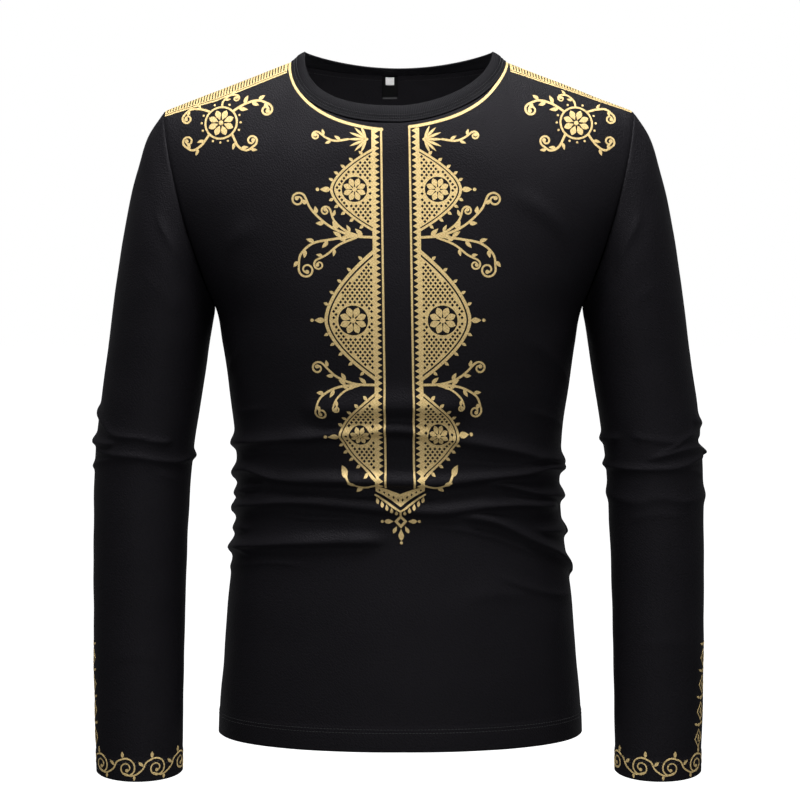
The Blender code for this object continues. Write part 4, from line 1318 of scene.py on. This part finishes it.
# The printed cloth: its grid, whether it is a ring, the way it faces, its hem's stitches, and the
# size and area it was cut to, laid flat, with 10 mm seams and 20 mm hems. A panel's grid goes by its
# columns, its rows in each band and its rows from there to the top.
CLOTHS = {
    "front_panel": (
        panel_grid(FRONT, 151, (18, 36, 140, 30), 50), False, 1, HEM_STITCH_LINES, (0.50, 0.68), 0.315
    ),
    "back_panel": (
        panel_grid(BACK, 117, (16, 30, 84, 24), 44), False, -1, HEM_STITCH_LINES, (0.50, 0.69), 0.325
    ),
    "sleeve_left": (sleeve_grid(1), True, 1, CUFF_STITCH_LINES, (0.36, 0.66), 0.178),
    "sleeve_right": (sleeve_grid(-1), True, -1, CUFF_STITCH_LINES, (0.36, 0.66), 0.178),
}
sheets = {name: cloth_piece(name, *cloth[:4], jersey) for name, cloth in CLOTHS.items()}
neck_rib(rib_knit)
label = label_piece(
    "neck_label", LABEL_X, width=0.0145, length=0.0200, inwards=0.0024, lift=0.0010, thickness=0.0006,
    material=ribbon,
)
tab = label_piece(
    "size_tab", LABEL_X, width=0.0081, length=0.0067, inwards=0.0034, lift=0.0004, thickness=0.0005,
    material=tab_cloth,
)
# The label's turned-up end takes the lighter fold cloth, a painted highlight on its roll
fold_bar("label_fold", *label, 4, 0.0009, painted_highlight_fold_cloth, "neck_label")
fold_bar("tab_fold", *tab, 3, 0.0006, tab_cloth, "size_tab")

# Stitching, by length, gap and radius
HEM_STITCH = (0.0025, 0.0006, 0.00026)
RIB_STITCH = (0.0020, 0.0006, 0.00024)
TAPE_REACH, TAPE_DROP, TAPE_PROUD = 0.088, 0.0042, 0.0002
on_sheet = {
    name: [
        stitches(
            f"{name}_hem_stitches_{k + 1}", *row_at(grid, normals, line), *HEM_STITCH,
            black_thread, name, closed=CLOTHS[name][1],
        )
        for k, line in enumerate(CLOTHS[name][3])
    ]
    for name, (_, grid, normals) in sheets.items()
}
turn = np.linspace(-np.pi / 2, 1.5 * np.pi, 480, endpoint=False)
reach = np.linalg.norm(rib_surface(turn, 1.0) - rib_surface(turn, 0.0), axis=-1)
for k, line in enumerate(RIB_STITCH_LINES):
    path, beyond = (rib_surface(turn, line / reach + further) for further in (0.0, 0.02))
    outs = unit(np.cross(np.roll(path, -1, axis=0) - np.roll(path, 1, axis=0), beyond - path))
    name = f"neck_topstitch_{k + 1}"
    stitches(name, path, outs, *RIB_STITCH, black_thread, "neck_rib", closed=True)
neck = np.linspace(-TAPE_REACH, TAPE_REACH, 160)
tape_height = neckline_height(BACK, neck) - TAPE_DROP
tape = inside_back(neck, tape_height, np.full(len(neck), WALL + TAPE_PROUD))
on_tab, on_label = [rows[-4] for rows in tab], [rows[-2] for rows in label]
for name, line, *sizes, material, node in (
    ("neck_tape_stitches", tape, 0.0024, 0.0009, 0.00022, black_thread, "back_panel"),
    ("tab_stitches", on_tab, 0.0012, 0.0005, 0.00014, white_thread, "size_tab"),
    ("label_stitches", on_label, 0.0016, 0.0006, 0.00016, black_thread, "neck_label"),
):
    made = stitches(name, *line, *sizes, material, node)
    if node in on_sheet:
        on_sheet[node].append(made)

# Print
chest = chest_drawing()
neck_cord(chest)
for name, drawing in (("chest_print", chest), ("shoulder_print", shoulder_drawing())):
    made = foil(name, *drawing.mesh(2.4), lay_on_front, gold, "front_panel")
    on_sheet["front_panel"].append(made)
for (side, hand), widths in BAND_WIDTHS.items():
    half = "front" if side == FRONT else "back"
    name, node = f"shoulder_band_{half}_{'left' if hand == 1 else 'right'}", f"{half}_panel"
    flat, triangles = band_drawing(widths).mesh(2.6)
    made = foil(name, flat * (hand, 1.0), triangles, band_layer(side, node), gold, node)
    on_sheet[node].append(made)
for name, hand in (("sleeve_left", 1), ("sleeve_right", -1)):
    lay, around = cuff_layer(hand, name)
    drawing = cuff_drawing(around, CHAIN_ENDS[hand])
    on_sheet[name].append(foil(f"{name}_print", *drawing.mesh(2.2), lay, gold, name))

for name, (*_, flat, area) in CLOTHS.items():
    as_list(on_sheet[name])

# Floor, light and camera
bpy.ops.mesh.primitive_plane_add(size=60.0, location=(0.0, 0.0, -1.5))
floor = bpy.context.object
floor.name = "studio_floor"
pale = bpy.data.materials.new("studio_white")
pale.use_nodes = True
feed(pale.node_tree, pale.node_tree.nodes["Principled BSDF"], {
    "Base Color": (0.90, 0.90, 0.90, 1.0), "Roughness": 0.9, "Specular IOR Level": 0.1,
    "Emission Color": (1.0, 1.0, 1.0, 1.0), "Emission Strength": 0.9,
})
floor.data.materials.append(pale)
floor.visible_diffuse = floor.visible_glossy = False

scene = bpy.context.scene
scene.view_settings.view_transform = "Standard"
scene.world = world = bpy.data.worlds.new("studio")
world.use_nodes = True
tree = world.node_tree
lit, seen = tree.nodes["Background"], tree.nodes.new("ShaderNodeBackground")
rays, mixed = tree.nodes.new("ShaderNodeLightPath"), tree.nodes.new("ShaderNodeMixShader")
feed(tree, lit, {"Color": (0.96, 0.97, 1.0, 1.0), "Strength": 0.227})
feed(tree, seen, {"Color": (1.0, 1.0, 1.0, 1.0), "Strength": 1.0})
feed(tree, mixed, {0: rays.outputs["Is Camera Ray"], 1: lit.outputs[0], 2: seen.outputs[0]})
feed(tree, tree.nodes["World Output"], {"Surface": mixed.outputs[0]})


def aimed(name, data, location, target):
    """An object of the data, looking from its location at the target."""
    thing = bpy.data.objects.new(name, data)
    thing.location = location
    aim = Vector(target) - Vector(location)
    thing.rotation_euler = aim.to_track_quat("-Z", "Y").to_euler()
    scene.collection.objects.link(thing)
    return thing


MIDDLE = (0.0, 0.0, -0.3)
for name, location, target, width, height, watts in (
    ("high_back", (0.0, 0.5, 1.6), MIDDLE, 1.6, 0.8, 37.6),
    ("overhead", (0.0, -0.45, 1.5), MIDDLE, 1.4, 0.4, 37.8),
    ("high_front", (0.0, -0.8, 1.4), MIDDLE, 1.2, 0.4, 31.0),
    ("left_front", (2.0, -2.0, -0.2), MIDDLE, 1.0, 1.5, 6.0),
    ("right_front", (-2.0, -2.0, -0.2), MIDDLE, 1.0, 1.5, 1.7),
    ("low_front", (0.0, -2.2, -1.1), MIDDLE, 1.4, 0.7, 12.2),
    ("inner", (0.0, -0.05, -0.16), (0.0, 0.09, -0.02), 0.20, 0.10, 0.26),
):
    lamp = bpy.data.lights.new(f"{name}_softbox", "AREA")
    lamp.shape = "RECTANGLE"
    lamp.size, lamp.size_y, lamp.energy = width, height, watts
    aimed(f"{name}_softbox", lamp, location, target).visible_camera = False

lens = bpy.data.cameras.new("camera")
lens.sensor_width = 36.0
lens.lens = 103.3
scene.camera = aimed("camera", lens, (0.0012, -2.2, -0.185), (0.0012, 0.0, -0.326))
